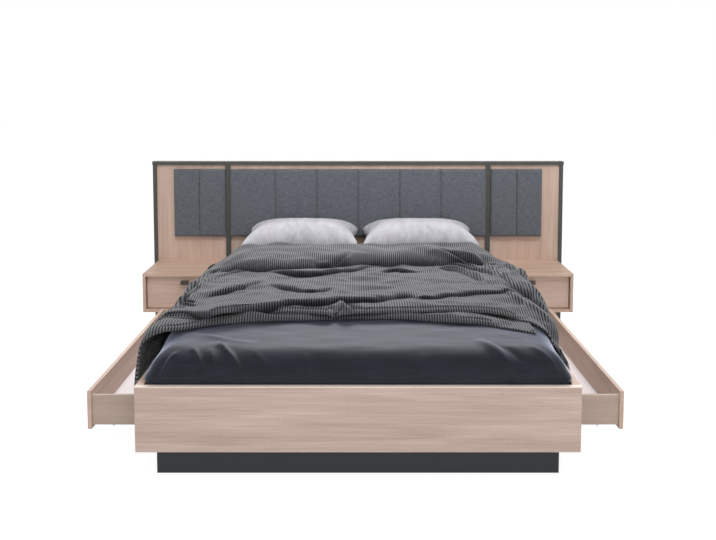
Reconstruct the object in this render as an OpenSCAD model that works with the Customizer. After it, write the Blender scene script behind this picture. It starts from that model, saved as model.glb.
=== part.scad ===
// Bed with two hung nightstands, an upholstered headboard and two under-bed drawers.
// Z = 0 is the floor, the footboard faces -Y, and the origin is below the middle of the whole bed.

/* [Mattress] */
// Width of the mattress core
mattress_w = 1590; // [1400:10:1800]
// Length of the mattress core
mattress_l = 1990; // [1900:10:2100]
// Thickness of the mattress core
mattress_t = 170; // [140:5:220]
// Room between the mattress and each side rail, where the cover is tucked in
side_gap = 7; // [6:1:14]
// Room between the mattress and the footboard
foot_gap = 11; // [9:1:30]
// Room between the mattress and the headboard strips
head_gap = 15; // [12:1:40]

/* [Bed frame] */
// Height of the recessed plinth
plinth_h = 111; // [80:1:150]
// How far the plinth stands back from the outside of the frame
plinth_inset = 64; // [30:1:110]
// Thickness of the plinth boards
plinth_t = 18; // [15:1:30]
// Height of the footboard and of the frame's sides
frame_h = 250; // [230:1:300]
// Thickness of the footboard
foot_t = 22; // [18:1:40]
// Thickness of the side rails and of the fixed side panels below them
rail_t = 30; // [24:1:40]
// Height of the side rails above the drawers
rail_h = 92; // [80:1:110]
// Thickness of the boards between the drawers
divider_t = 16; // [14:1:22]
// Width of the slat ledges
ledge_w = 22; // [18:1:40]
// Height of the slat ledges
ledge_h = 22; // [18:1:24]
// Height of a ledge's top above the underside of the side rail
ledge_rise = 15; // [12:1:18]
// Thickness of a slat
slat_t = 10; // [8:1:14]
// Width of a slat
slat_w = 70; // [50:1:90]
// Number of slats
slat_count = 14; // [12:1:18]
// Gap between a slat's end and the side rail
slat_play = 10; // [6:1:14]

/* [Frame fittings] */
// Leg length of the steel corner brackets
bracket_leg = 60; // [45:1:80]
// Height of the steel corner brackets
bracket_h = 80; // [60:1:100]
// Thickness of the bracket steel
bracket_t = 3; // [2:0.5:4]
// Diameter of a frame bolt's shank
bolt_d = 8; // [5:1:10]
// Depth of a frame bolt in its board
bolt_depth = 16; // [10:1:18]
// Diameter of a frame bolt's head
bolt_head_d = 16; // [14:1:20]
// Height of a frame bolt's head
bolt_head_h = 4; // [3:0.5:6]

/* [Headboard] */
// Height of the headboard
head_h = 1024; // [940:1:1200]
// Thickness of the top cap
cap_t = 22; // [15:1:30]
// How far the cap reaches past the trims
cap_over = 2.5; // [1:0.5:8]
// Width of the two outer trims
trim_w = 22; // [16:1:40]
// Width of the two inner trims
strip_w = 30; // [20:1:44]
// How far the trims stand in front of the wood panels
trim_proud = 12; // [6:1:25]
// Thickness of the wood panels
panel_t = 18; // [15:1:25]
// Height of the panels' lower edge above the floor
panel_lift = 10; // [5:1:60]
// Thickness of the battens behind the panels
batten_t = 18; // [15:1:28]
// Height of the battens behind the panels
batten_h = 80; // [50:1:120]

/* [Upholstered pads] */
// Gap between the cap and the pads' upper edges
pad_drop = 25; // [10:1:60]
// Height of the pads
pad_h = 421; // [320:1:440]
// Thickness of the foam at the middle of a channel
pad_t = 31; // [20:1:60]
// Thickness of the board behind the foam
pad_board_t = 9; // [6:1:15]
// Width of each side pad
side_pad_w = 317; // [240:1:360]
// Distance between the seams of the middle pad
channel_w = 257; // [220:1:262]
// Depth of a sewn seam
seam_depth = 11; // [5:1:14]

/* [Nightstands] */
// Width of a nightstand
ns_w = 418; // [360:1:520]
// Depth of a nightstand
ns_d = 380; // [360:1:460]
// Height of a nightstand's top above the floor
ns_top = 401; // [370:1:470]
// Height of a nightstand's case
ns_h = 227; // [190:1:240]
// Thickness of the nightstand boards
ns_t = 17; // [15:1:22]
// Gap beside a nightstand
ns_gap = 2; // [1:0.5:6]
// Thickness of a nightstand's back
ns_back_t = 8; // [5:1:12]
// How far a nightstand drawer's front lies behind the case's edges
front_recess = 20; // [8:1:28]
// Gap round a nightstand drawer's front
front_gap = 5; // [3:0.5:8]
// Thickness of a nightstand drawer's front
front_t = 16; // [14:1:20]
// Length of a nightstand drawer's box
ns_box_l = 300; // [260:1:304]
// Height of a nightstand drawer's box
ns_box_h = 132; // [90:1:134]
// Thickness of a nightstand drawer's box walls
ns_box_t = 12; // [10:1:16]
// How far a nightstand drawer pulls out
ns_travel = 225; // [150:5:240]
// Height of the nightstand runners
ns_runner_h = 35; // [27:1:45]
// Width of the handle
handle_w = 44; // [36:1:70]
// Height of the handle
handle_h = 21; // [18:1:30]
// How far the handle stands out
handle_d = 21; // [18:1:30]
// Distance from the drawer front's inner end to the handle
handle_in = 132; // [80:1:170]
// Distance from the drawer front's top to the handle
handle_drop = 22; // [12:1:60]

/* [Under-bed drawers] */
// Distance from the footboard's face to a drawer front
drawer_foot = 205; // [180:1:320]
// Thickness of a drawer front
drawer_front_t = 17; // [15:1:22]
// Gap round a drawer front
drawer_gap = 3; // [2:0.5:5]
// Depth of a drawer's box, measured across the bed
box_d = 520; // [440:5:560]
// Thickness of a drawer's box walls
box_t = 15; // [12:1:18]
// Height of the box's lower edge above the front's lower edge
box_lift = 15; // [14:1:20]
// Height of the front's upper edge above the box's upper edge
box_drop = 19; // [16:1:40]
// How far the box's ends lie inside the front's ends
box_in = 8; // [6:1:12]
// Gap between a box end and the board beside it
box_side_gap = 5; // [3:0.5:8]
// Thickness of the drawer's bottom sheet
bottom_t = 4; // [3:0.5:6]
// Length of the under-bed runners
runner_l = 500; // [420:5:520]
// How far the left drawer stands open
left_open = 247; // [150:1:300]
// How far the right drawer stands open
right_open = 227; // [150:1:300]

/* [Bedding] */
// Thickness of the cover on top of the mattress
cover_t = 15; // [8:1:30]
// Radius of the cover's upper edge
cover_round = 80; // [70:1:100]
// Height of the crown of the made bed
cover_crown = 20; // [10:1:40]
// Distance from the footboard's face to the blanket's foot hem
blanket_foot = 326; // [260:1:420]
// Thickness of the blanket's hanging sides
blanket_t = 7; // [5:0.5:10]
// Height of the blanket's layers above the cover
blanket_loft = 40; // [30:1:70]
// Height of the blanket's folds
fold_h = 12; // [5:1:16]
// How far the blanket's left foot corner hangs below the rail's top
corner_drop = 88; // [40:1:88]
// How far the blanket's sides hang below the rail's top
side_drop = 28; // [10:1:60]
// Width of a pillow
pillow_w = 665; // [560:5:680]
// Length of a pillow
pillow_l = 430; // [380:5:460]
// Thickness of a pillow
pillow_t = 200; // [140:5:220]
// Distance between the two pillows
pillow_apart = 24; // [10:1:60]

/* [Hidden] */
$fn = 48;
seat = 0.3;
nip = 0.2;
board_play = 1;

rail_in = mattress_w / 2 + side_gap;
bed_half = rail_in + rail_t;
trim_depth = trim_proud + panel_t + batten_t + 2;
front_y = -(foot_t + foot_gap + mattress_l + head_gap + trim_depth + cap_over) / 2;
foot_in = front_y + foot_t;
bed_foot = foot_in + foot_gap;
bed_head = bed_foot + mattress_l;
strip_y = bed_head + head_gap;
panel_y = strip_y + trim_proud;
panel_back = panel_y + panel_t;

frame_top = plinth_h + frame_h;
rail_z = frame_top - rail_h;
ledge_top = rail_z + ledge_rise;
ledge_z = ledge_top - ledge_h;
deck_z = ledge_top + slat_t;

strip_in = rail_in - 7;
strip_out = strip_in + strip_w;
ns_in = bed_half + ns_gap;
ns_out = ns_in + ns_w;
trim_in = ns_out + ns_gap;
trim_out = trim_in + trim_w;
panel_top = head_h - cap_t;
pad_z = panel_top - pad_drop - pad_h;

ns_front = panel_y - ns_d;
ns_z = ns_top - ns_h;
front_y_ns = ns_front + front_recess;
ns_box_y = front_y_ns + front_t;
ns_runner_gap = 13;
ns_front_in = ns_in + ns_t + front_gap;
ns_front_out = ns_out - ns_t - front_gap;
ns_front_z = ns_z + ns_t + front_gap;
ns_front_top = ns_top - ns_t - front_gap;
ns_box_in = ns_in + ns_t + ns_runner_gap;
ns_box_out = ns_out - ns_t - ns_runner_gap;
ns_box_z = ns_front_z + 9;
ns_bottom_z = ns_box_z + 10;
handle_x = ns_front_in + handle_in;
handle_z = ns_front_top - handle_drop - handle_h;

// Both kinds of drawer can be open at once, so the under-bed drawer ends before the open nightstand drawer
both_open_gap = 24;
drawer_y0 = front_y + drawer_foot;
drawer_y1 = front_y_ns - handle_d - ns_travel - both_open_gap;
drawer_back_x = bed_half - drawer_front_t;
drawer_front_top = rail_z - drawer_gap;
box_y0 = drawer_y0 + box_in;
box_y1 = drawer_y1 - box_in;
box_z = plinth_h + box_lift;
box_top = drawer_front_top - box_drop;
box_x0 = drawer_back_x - box_d;
divider_foot = box_y0 - box_side_gap;
divider_head = box_y1 + box_side_gap;
bottom_z = box_z + 13;
back_z = box_z + 11.4;
groove = 6;

steel = 1.5;
runner_x1 = drawer_back_x - 3;
runner_x0 = runner_x1 - runner_l;

mattress_top = deck_z + seat + mattress_t;
cover_top = mattress_top + cover_t;
cover_hem = frame_top - 40;
cover_half = rail_in - 0.8;
cover_foot = foot_in + 1;
cover_head = bed_head + 8;
blanket_head = panel_y - pad_board_t - pad_t - 10 - pillow_l - 8;

WOOD = "#c2a99b";
FOOT_WOOD = "#c6aea2";
DARK = "#46484a";
PLINTH = "#37383c";
FABRIC = "#5c6069";
WHITE = "#eeeaec";
NAVY = "#3a3d4c";
GREY = "#707375";
LINEN = "#e1dee6";
STEEL = "#9a9c9e";

// ---------- helpers ----------

// A board given by its lowest and highest corners
module board(low, high) {
    translate(low) cube(high - low);
}

module both_sides() {
    children();
    mirror([1, 0, 0]) children();
}

module left() {
    mirror([1, 0, 0]) children();
}

function clamp(t) = min(1, max(0, t));
function smooth(t) = let (c = clamp(t)) c * c * (3 - 2 * c);
function mix(a, b, t) = a + (b - a) * t;
function flat(rows) = [for (row = rows) each row];

// The triangles of a grid of rows by cols points whose first point has index start
function grid_faces(rows, cols, start, flip) = [
    for (j = [0 : rows - 2], i = [0 : cols - 2])
        let (a = start + j * cols + i, b = a + 1, c = b + cols, d = a + cols)
        each (flip ? [[a, c, b], [a, d, c]] : [[a, b, c], [a, c, d]])
];

// The points round the edge of a grid, in order, as indexes
function edge_loop(rows, cols) = concat(
    [for (i = [0 : cols - 1]) i],
    [for (j = [1 : rows - 1]) j * cols + cols - 1],
    [for (i = [cols - 2 : -1 : 0]) (rows - 1) * cols + i],
    [for (j = [rows - 2 : -1 : 1]) j * cols]
);

// A closed solid between an upper and a lower grid of points of the same size
module slab(upper, lower) {
    rows = len(upper);
    cols = len(upper[0]);
    count = rows * cols;
    loop = edge_loop(rows, cols);
    walls = [
        for (k = [0 : len(loop) - 1])
            let (a = loop[k], b = loop[(k + 1) % len(loop)])
            each [[a, b, b + count], [a, b + count, a + count]]
    ];
    polyhedron(
        points = concat(flat(upper), flat(lower)),
        faces = concat(grid_faces(rows, cols, 0, true), grid_faces(rows, cols, count, false), walls)
    );
}

// The points of a rectangle with rounded corners at height z
function ring(cy, a, b, r, z, steps = 8) = [
    for (q = [0 : 3], s = [0 : steps])
        let (angle = q * 90 + s * 90 / steps)
        let (sx = (q == 0 || q == 3) ? 1 : -1, sy = q < 2 ? 1 : -1)
        [sx * (a - r) + r * cos(angle), cy + sy * (b - r) + r * sin(angle), z]
];

// A closed solid through a stack of rings
module loft(rings) {
    n = len(rings[0]);
    last = len(rings) - 1;
    sides = [
        for (k = [0 : last - 1], i = [0 : n - 1])
            let (a = k * n + i, b = k * n + (i + 1) % n)
            each [[a, a + n, b + n], [a, b + n, b]]
    ];
    polyhedron(
        points = flat(rings),
        faces = concat(sides, [[for (i = [0 : n - 1]) i]], [[for (i = [n - 1 : -1 : 0]) last * n + i]])
    );
}

// ---------- bed frame ----------

plinth_x = bed_half - plinth_inset;
plinth_y0 = front_y + plinth_inset;
plinth_y1 = panel_y - plinth_inset;

module plinth_boards() {
    color(PLINTH) {
        board([-plinth_x, plinth_y0, 0], [plinth_x, plinth_y0 + plinth_t, plinth_h]);
        board([-plinth_x, plinth_y1 - plinth_t, 0], [plinth_x, plinth_y1, plinth_h]);
        for (x = [-plinth_x, -plinth_t / 2, plinth_x - plinth_t])
            board([x, plinth_y0 + plinth_t, 0], [x + plinth_t, plinth_y1 - plinth_t, plinth_h]);
    }
}

bracket_z = plinth_h + bracket_h / 2;
bolt_z = [bracket_z + bracket_h / 4, bracket_z + bracket_h * 3 / 4];
bracket_hole_in = bracket_leg * 2 / 3;
head_bolt_z = [rail_z + rail_h * 0.26, rail_z + rail_h * 0.74];
head_bolt_x = strip_out - 10;

// One bolt whose head sits at the origin and whose shank runs along +Y
module bolt() {
    rotate([-90, 0, 0]) cylinder(d = bolt_d, h = bolt_depth);
    translate([0, -bolt_head_h, 0]) rotate([-90, 0, 0]) cylinder(d = bolt_head_d, h = bolt_head_h);
}

// The hole for a bolt's shank
module bolt_hole(extra = 0) {
    rotate([-90, 0, 0]) translate([0, 0, -extra]) cylinder(d = bolt_d + nip, h = bolt_depth + extra + 1);
}

// Puts its children at each bolt of one foot corner: two in the footboard, two in the side panel
module foot_bolts(lift) {
    for (z = bolt_z) {
        translate([rail_in - bracket_hole_in, foot_in + lift, z]) rotate([0, 0, 180]) children();
        translate([rail_in - lift, foot_in + bracket_hole_in, z]) rotate([0, 0, -90]) children();
    }
}

// Puts its children at each bolt that holds a side rail to the headboard, from behind
module head_bolts(lift) {
    for (z = head_bolt_z) translate([head_bolt_x, strip_y + lift, z]) rotate([0, 0, 180]) children();
}

strip_back = panel_back;
head_bolt_seat = trim_proud + panel_t - 14;

module footboard() {
    color(FOOT_WOOD) difference() {
        board([-bed_half, front_y, plinth_h], [bed_half, foot_in, frame_top]);
        both_sides() foot_bolts(bracket_t) bolt_hole();
    }
}

module side_rail() {
    color(WOOD) difference() {
        board([rail_in, foot_in, rail_z], [bed_half, strip_y, frame_top]);
        head_bolts(head_bolt_seat) bolt_hole(2);
    }
}

module side_rail_left() {
    left() side_rail();
}

module side_rail_right() {
    side_rail();
}

module lower_side_panels() {
    color(WOOD) both_sides() {
        difference() {
            board([rail_in, foot_in, plinth_h], [bed_half, drawer_y0 - drawer_gap, rail_z]);
            foot_bolts(bracket_t) bolt_hole();
        }
        board([rail_in, drawer_y1 + drawer_gap, plinth_h], [bed_half, strip_y, rail_z]);
    }
}

module drawer_dividers() {
    color(WOOD) {
        board([-rail_in, divider_foot - divider_t, plinth_h], [rail_in, divider_foot, ledge_z]);
        board([-rail_in, divider_head, plinth_h], [rail_in, divider_head + divider_t, ledge_z]);
    }
}

module centre_spine() {
    half = divider_t / 2;
    spans = [
        [foot_in, divider_foot - divider_t],
        [divider_foot, divider_head],
        [divider_head + divider_t, panel_y]
    ];
    color(WOOD) for (s = spans) board([-half, s[0], plinth_h], [half, s[1], ledge_top]);
}

module slat_ledges() {
    color(WOOD) both_sides() board([rail_in - ledge_w, foot_in, ledge_z], [rail_in, strip_y, ledge_top]);
}

module slats() {
    half = rail_in - slat_play;
    pitch = (mattress_l - slat_w - 40) / (slat_count - 1);
    color(WOOD) for (i = [0 : slat_count - 1])
        let (y = bed_foot + 20 + i * pitch)
        board([-half, y, ledge_top], [half, y + slat_w, deck_z]);
}

module corner_brackets() {
    color(STEEL) both_sides() difference() {
        union() {
            board([rail_in - bracket_leg, foot_in, bracket_z],
                  [rail_in, foot_in + bracket_t, bracket_z + bracket_h]);
            board([rail_in - bracket_t, foot_in, bracket_z],
                  [rail_in, foot_in + bracket_leg, bracket_z + bracket_h]);
        }
        foot_bolts(bracket_t + 1) bolt_hole();
    }
}

module frame_bolts() {
    color(STEEL) both_sides() {
        foot_bolts(bracket_t) bolt();
        head_bolts(head_bolt_seat) bolt();
    }
}

// ---------- headboard ----------

module headboard_centre_panel() {
    color(WOOD) board([-strip_in, panel_y, panel_lift], [strip_in, panel_back, panel_top]);
}

module headboard_side_panels() {
    color(WOOD) both_sides() board([strip_out, panel_y, panel_lift], [trim_in, panel_back, panel_top]);
}

module headboard_cap() {
    x = trim_out + cap_over;
    color(DARK) board([-x, strip_y - cap_over, panel_top], [x, strip_y + trim_depth + cap_over, head_h]);
}

module headboard_outer_trims() {
    color(DARK) both_sides() board([trim_in, strip_y, 0], [trim_out, strip_y + trim_depth, panel_top]);
}

module headboard_inner_trims() {
    color(DARK) both_sides() difference() {
        board([strip_in, strip_y, 0], [strip_out, strip_back, panel_top]);
        head_bolts(head_bolt_seat) bolt_hole(0);
        for (z = head_bolt_z)
            translate([head_bolt_x, strip_y + head_bolt_seat, z]) rotate([-90, 0, 0])
                cylinder(d = bolt_head_d + 1, h = strip_w);
    }
}

module headboard_back_battens() {
    x = trim_in;
    levels = [panel_lift + 60, (panel_lift + panel_top - batten_h) / 2, panel_top - batten_h - 20];
    color(WOOD) for (z = levels) board([-x, panel_back, z], [x, panel_back + batten_t, z + batten_h]);
}

// ---------- pads ----------

pad_back = panel_y - pad_board_t;
side_pad_in = strip_out + board_play;
centre_pad_half = strip_in - board_play;

module pad_boards() {
    edge = 6;
    color(WOOD) {
        board([edge - centre_pad_half, pad_back, pad_z + edge],
              [centre_pad_half - edge, panel_y, pad_z + pad_h - edge]);
        both_sides() board([side_pad_in + edge, pad_back, pad_z + edge],
              [side_pad_in + side_pad_w - edge, panel_y, pad_z + pad_h - edge]);
    }
}

// A pad whose channels run between the seams in xs: full in the middle of a channel, drawn in at its seams and edges
module channel_pad(xs) {
    steps = [0, 0.06, 0.18, 0.5, 0.82, 0.94];
    rows = [0, 0.025, 0.08, 0.25, 0.5, 0.75, 0.92, 0.975, 1];
    columns = concat(
        [for (k = [0 : len(xs) - 2], t = steps) [mix(xs[k], xs[k + 1], t), t]],
        [[xs[len(xs) - 1], 0]]
    );
    last = len(columns) - 1;
    skirt = pad_t * 0.45;
    function rise(t) = pow(max(0, 1 - pow(abs(2 * t - 1), 2.6)), 0.5);
    function depth(i, v) =
        let (seam = pad_t - seam_depth * (1 - rise(columns[i][1])))
        let (end = (i == 0 || i == last) ? skirt : seam)
        mix(skirt, end, rise(v));
    front = [for (v = rows) [for (i = [0 : last])
        [columns[i][0], pad_back - seat - depth(i, v), pad_z + v * pad_h]]];
    back = [for (v = rows) [for (i = [0 : last]) [columns[i][0], pad_back - seat, pad_z + v * pad_h]]];
    color(FABRIC) slab(back, front);
}

module centre_pad() {
    half = centre_pad_half;
    seams = [for (k = [-2 : 2]) k * channel_w];
    channel_pad(concat([-half], seams, [half]));
}

module right_pad() {
    channel_pad([side_pad_in, side_pad_in + side_pad_w / 2, side_pad_in + side_pad_w]);
}

module left_pad() {
    left() right_pad();
}

// ---------- nightstands ----------

ns_case_in = ns_in + ns_t;
ns_case_out = ns_out - ns_t;

module ns_top_board() {
    color(WOOD) board([ns_case_in, ns_front, ns_top - ns_t], [ns_case_out, panel_y, ns_top]);
}

module left_nightstand_top() {
    left() ns_top_board();
}

module right_nightstand_top() {
    ns_top_board();
}

module ns_sides() {
    color(WOOD) {
        board([ns_in, ns_front, ns_z], [ns_case_in, panel_y, ns_top]);
        board([ns_case_out, ns_front, ns_z], [ns_out, panel_y, ns_top]);
    }
}

module left_nightstand_sides() {
    left() ns_sides();
}

module right_nightstand_sides() {
    ns_sides();
}

module nightstand_bottoms() {
    color(WOOD) both_sides() board([ns_case_in, ns_front, ns_z], [ns_case_out, panel_y, ns_z + ns_t]);
}

module nightstand_backs() {
    color(WOOD) both_sides()
        board([ns_case_in, panel_y - ns_back_t, ns_z + ns_t], [ns_case_out, panel_y, ns_top - ns_t]);
}

ns_runner_z = ns_box_z + ns_box_h / 2;
ns_runner_y0 = ns_box_y + 4;
ns_runner_l = ns_box_l - 8;
sheet = 1.2;

// The fixed half of a side runner on a wall at x = 0 with the drawer on its +X side
module fixed_runner_section() {
    h = ns_runner_h / 2;
    for (s = [0, 1]) mirror([0, s, 0]) {
        square([sheet, h]);
        translate([0, h - sheet]) square([ns_runner_gap - sheet - seat, sheet]);
    }
}

// The half of a side runner that is screwed to the drawer
module moving_runner_section() {
    h = ns_runner_h / 2 - sheet - 0.6;
    for (s = [0, 1]) mirror([0, s, 0]) {
        translate([ns_runner_gap - sheet, 0]) square([sheet, h]);
        translate([4, h - sheet]) square([ns_runner_gap - 4, sheet]);
    }
}

// Stands a section that is drawn in X and Z up along +Y
module along_y(length) {
    rotate([90, 0, 0]) translate([0, 0, -length]) linear_extrude(length) children();
}

// Puts its children on both side walls of the right nightstand
module ns_runner_places() {
    translate([ns_case_in, ns_runner_y0, ns_runner_z]) children();
    translate([ns_case_out, ns_runner_y0, ns_runner_z]) mirror([1, 0, 0]) children();
}

module nightstand_runners() {
    color(STEEL) both_sides() ns_runner_places() along_y(ns_runner_l) fixed_runner_section();
}

module ns_drawer_runner() {
    color(STEEL) ns_runner_places() along_y(ns_runner_l) moving_runner_section();
}

module ns_drawer_front() {
    color(WOOD) board([ns_front_in, front_y_ns, ns_front_z], [ns_front_out, ns_box_y, ns_front_top]);
}

// The bottom sheet of a nightstand drawer, grown by a play so that it also cuts its own groove
module ns_bottom_sheet(play) {
    inset = ns_box_t - groove;
    board([ns_box_in + inset - play, ns_box_y, ns_bottom_z - play],
          [ns_box_out - inset + play, ns_box_y + ns_box_l - inset + play, ns_bottom_z + bottom_t + play]);
}

module ns_drawer_sides() {
    color(WOOD) difference() {
        for (x = [ns_box_in, ns_box_out - ns_box_t])
            board([x, ns_box_y, ns_box_z], [x + ns_box_t, ns_box_y + ns_box_l, ns_box_z + ns_box_h]);
        ns_bottom_sheet(nip);
    }
}

module ns_drawer_back() {
    y = ns_box_y + ns_box_l;
    color(WOOD) difference() {
        board([ns_box_in + ns_box_t, y - ns_box_t, ns_box_z], [ns_box_out - ns_box_t, y, ns_box_z + ns_box_h]);
        ns_bottom_sheet(nip);
    }
}

module ns_drawer_bottom() {
    color(WHITE) ns_bottom_sheet(0);
}

// A block with a hollow behind its lip for the fingers
module ns_drawer_handle() {
    lip = 6;
    wall = 4;
    color(DARK) difference() {
        board([handle_x, front_y_ns - handle_d, handle_z], [handle_x + handle_w, front_y_ns, handle_z + handle_h]);
        board([handle_x + wall, front_y_ns - handle_d + lip, handle_z - 1],
              [handle_x + handle_w - wall, front_y_ns - wall, handle_z + handle_h - 2 * wall]);
    }
}

module left_nightstand_drawer_front() {
    left() ns_drawer_front();
}

module left_nightstand_drawer_sides() {
    left() ns_drawer_sides();
}

module left_nightstand_drawer_back() {
    left() ns_drawer_back();
}

module left_nightstand_drawer_bottom() {
    left() ns_drawer_bottom();
}

module left_nightstand_drawer_handle() {
    left() ns_drawer_handle();
}

module left_nightstand_drawer_runner() {
    left() ns_drawer_runner();
}

module right_nightstand_drawer_front() {
    ns_drawer_front();
}

module right_nightstand_drawer_sides() {
    ns_drawer_sides();
}

module right_nightstand_drawer_back() {
    ns_drawer_back();
}

module right_nightstand_drawer_bottom() {
    ns_drawer_bottom();
}

module right_nightstand_drawer_handle() {
    ns_drawer_handle();
}

module right_nightstand_drawer_runner() {
    ns_drawer_runner();
}

// ---------- under-bed drawers, drawn closed on the right side of the bed ----------

// Runner sections lie in Y and Z: Y runs from the box end's outer face into the drawer, Z from the box's lower edge
rail_low = -8;
lock_back = 80;

module bar(y0, y1, z0, z1) {
    translate([y0, z0]) square([y1 - y0, z1 - z0]);
}

// Bracket on the divider that reaches under the box end and carries the middle member
module fixed_section() {
    bar(-box_side_gap, steel - box_side_gap, rail_low, 24);
    bar(-box_side_gap, 24 + box_t, rail_low, rail_low + steel);
    bar(24 + box_t - steel, 24 + box_t, rail_low, 3.3);
    bar(10 + box_t, 24 + box_t, 3.3 - steel, 3.3);
}

module middle_section() {
    bar(5 + box_t, 29 + box_t, 4, 4 + steel);
    bar(5 + box_t, 5 + box_t + steel, 4, 10.8);
    bar(29 + box_t - steel, 29 + box_t, 4, 10.8);
}

module inner_section() {
    bar(2 + box_t, 32 + box_t, 13 - steel, 13);
    bar(2 + box_t, 2 + box_t + steel, 1, 13);
    bar(32 + box_t - steel, 32 + box_t, 1, 13);
}

// Carries a Y-Z section along X from x0 to x1 at both ends of the drawer box
module run_both_ends(x0, x1) {
    for (end = [0, 1]) {
        place = end == 0 ? box_y0 : box_y1;
        translate([x0, place, box_z]) mirror([0, end, 0])
            rotate([90, 0, 90]) linear_extrude(x1 - x0) children();
    }
}

module right_runners() {
    run_both_ends(runner_x0, runner_x1) fixed_section();
}

module under_drawer_runners() {
    color(STEEL) both_sides() right_runners();
}

module middle_runner() {
    color(STEEL) run_both_ends(runner_x0, runner_x1) middle_section();
}

// The drawer's own members, with the small lock tab that shows below the box
module inner_runner() {
    tab_x = drawer_back_x - lock_back;
    color(STEEL) {
        run_both_ends(runner_x0, runner_x1) inner_section();
        run_both_ends(tab_x - 7, tab_x) {
            bar(2, 2 + box_t + steel, rail_low + steel + 0.7, -nip);
            bar(2 + box_t, 2 + box_t + steel, -nip, 1.5);
        }
    }
}

module drawer_front() {
    color(WOOD) difference() {
        board([drawer_back_x, drawer_y0, plinth_h], [bed_half, drawer_y1, drawer_front_top]);
        drawer_bottom_sheet(nip);
    }
}

// The bottom sheet of an under-bed drawer, grown by a play so that it also cuts its own grooves
module drawer_bottom_sheet(play) {
    inset = box_t - groove;
    board([box_x0 + inset - play, box_y0 + inset - play, bottom_z - play],
          [drawer_back_x + groove + play, box_y1 - inset + play, bottom_z + bottom_t + play]);
}

module drawer_ends() {
    color(WOOD) difference() {
        for (y = [box_y0, box_y1 - box_t])
            board([box_x0, y, box_z], [drawer_back_x, y + box_t, box_top]);
        drawer_bottom_sheet(nip);
    }
}

module drawer_back() {
    color(WOOD) difference() {
        board([box_x0, box_y0 + box_t, back_z], [box_x0 + box_t, box_y1 - box_t, box_top]);
        drawer_bottom_sheet(nip);
    }
}

module drawer_bottom() {
    color(WHITE) drawer_bottom_sheet(0);
}

module drawer_stiffener() {
    y = (box_y0 + box_y1) / 2;
    color(WOOD) board([box_x0 + box_t, y - 20, box_z + 1], [drawer_back_x, y + 20, bottom_z]);
}

// The drawers stand open by the two amounts that the photograph shows
module right_drawer(share = 1) {
    translate([right_open * share, 0, 0]) children();
}

module left_drawer(share = 1) {
    left() translate([left_open * share, 0, 0]) children();
}

module left_under_drawer_front() {
    left_drawer() drawer_front();
}

module left_under_drawer_ends() {
    left_drawer() drawer_ends();
}

module left_under_drawer_back() {
    left_drawer() drawer_back();
}

module left_under_drawer_bottom() {
    left_drawer() drawer_bottom();
}

module left_under_drawer_stiffener() {
    left_drawer() drawer_stiffener();
}

module left_under_drawer_middle_runner() {
    left_drawer(0.5) middle_runner();
}

module left_under_drawer_inner_runner() {
    left_drawer() inner_runner();
}

module right_under_drawer_front() {
    right_drawer() drawer_front();
}

module right_under_drawer_ends() {
    right_drawer() drawer_ends();
}

module right_under_drawer_back() {
    right_drawer() drawer_back();
}

module right_under_drawer_bottom() {
    right_drawer() drawer_bottom();
}

module right_under_drawer_stiffener() {
    right_drawer() drawer_stiffener();
}

module right_under_drawer_middle_runner() {
    right_drawer(0.5) middle_runner();
}

module right_under_drawer_inner_runner() {
    right_drawer() inner_runner();
}

// ---------- mattress and bedding ----------

mattress_round = 60;
mattress_corner = 90;
mattress_foot_round = 20;
waist_in = 3;

// Rounds a ring in over a quarter circle of radius r that starts at height z
function rounded(cy, a, b, r, z, corner, angles) = [
    for (t = angles)
        let (inset = r * (1 - cos(t)))
        ring(cy, a - inset, b - inset, max(12, corner - inset * 0.5), z + r * sin(t))
];

module mattress() {
    a = mattress_w / 2;
    b = mattress_l / 2;
    cy = bed_foot + b;
    z = deck_z + seat;
    low = rounded(cy, a, b, mattress_foot_round, z + mattress_foot_round, mattress_corner, [-90, -60, -30, 0]);
    waist = [for (k = [1 : 3])
        let (inset = waist_in * sin(45 * k), rise = mix(mattress_foot_round, mattress_t - mattress_round, k / 4))
        ring(cy, a - inset, b - inset, mattress_corner, z + rise)];
    high = rounded(cy, a, b, mattress_round, mattress_top - mattress_round, mattress_corner, [0, 15, 35, 55, 75, 90]);
    color(LINEN) loft(concat(low, waist, high));
}

cover_corner = 100;
crown_ramp = 420;

// How high the cover's top rises at a distance inside its edge
function crown_at(inset) = cover_crown * smooth((inset - cover_round) / crown_ramp);

module bed_cover() {
    b = (cover_head - cover_foot) / 2;
    cy = (cover_head + cover_foot) / 2;
    in_a = mattress_w / 2 + 0.4;
    in_b = mattress_l / 2 + 0.4;
    in_cy = bed_foot + mattress_l / 2;
    in_top = mattress_top + 0.5;
    angles = [0, 18, 36, 54, 72, 90];
    inside_z = in_top - mattress_round;
    inside = rounded(in_cy, in_a, in_b, mattress_round, inside_z, mattress_corner, [90, 75, 55, 35, 15, 0]);
    inner_hem = ring(in_cy, in_a, in_b, mattress_corner, cover_hem);
    outer_hem = ring(cy, cover_half, b, cover_corner, cover_hem);
    outside = rounded(cy, cover_half, b, cover_round, cover_top - cover_round, cover_corner, angles);
    crown = [
        for (share = [0.17, 0.36, 0.55, 0.74, 0.93])
            let (inset = cover_round + crown_ramp * share)
            ring(cy, cover_half - inset, b - inset, cover_corner * 0.6, cover_top + crown_at(inset))
    ];
    color(NAVY) loft(concat(inside, [inner_hem, outer_hem], outside, crown));
}

// Height of the cover under a point of the blanket
function cover_z(x, y) = cover_top + crown_at(min(cover_half - abs(x), y - cover_foot, cover_head - y));

// The blanket's folds lie across the bed and wander a little
function fold_at(x, y) =
    fold_h * (sin(1.45 * y + 40 * sin(0.17 * x) + 0.05 * x) + 0.6 * sin(2.6 * y - 0.22 * x + 30));

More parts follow.
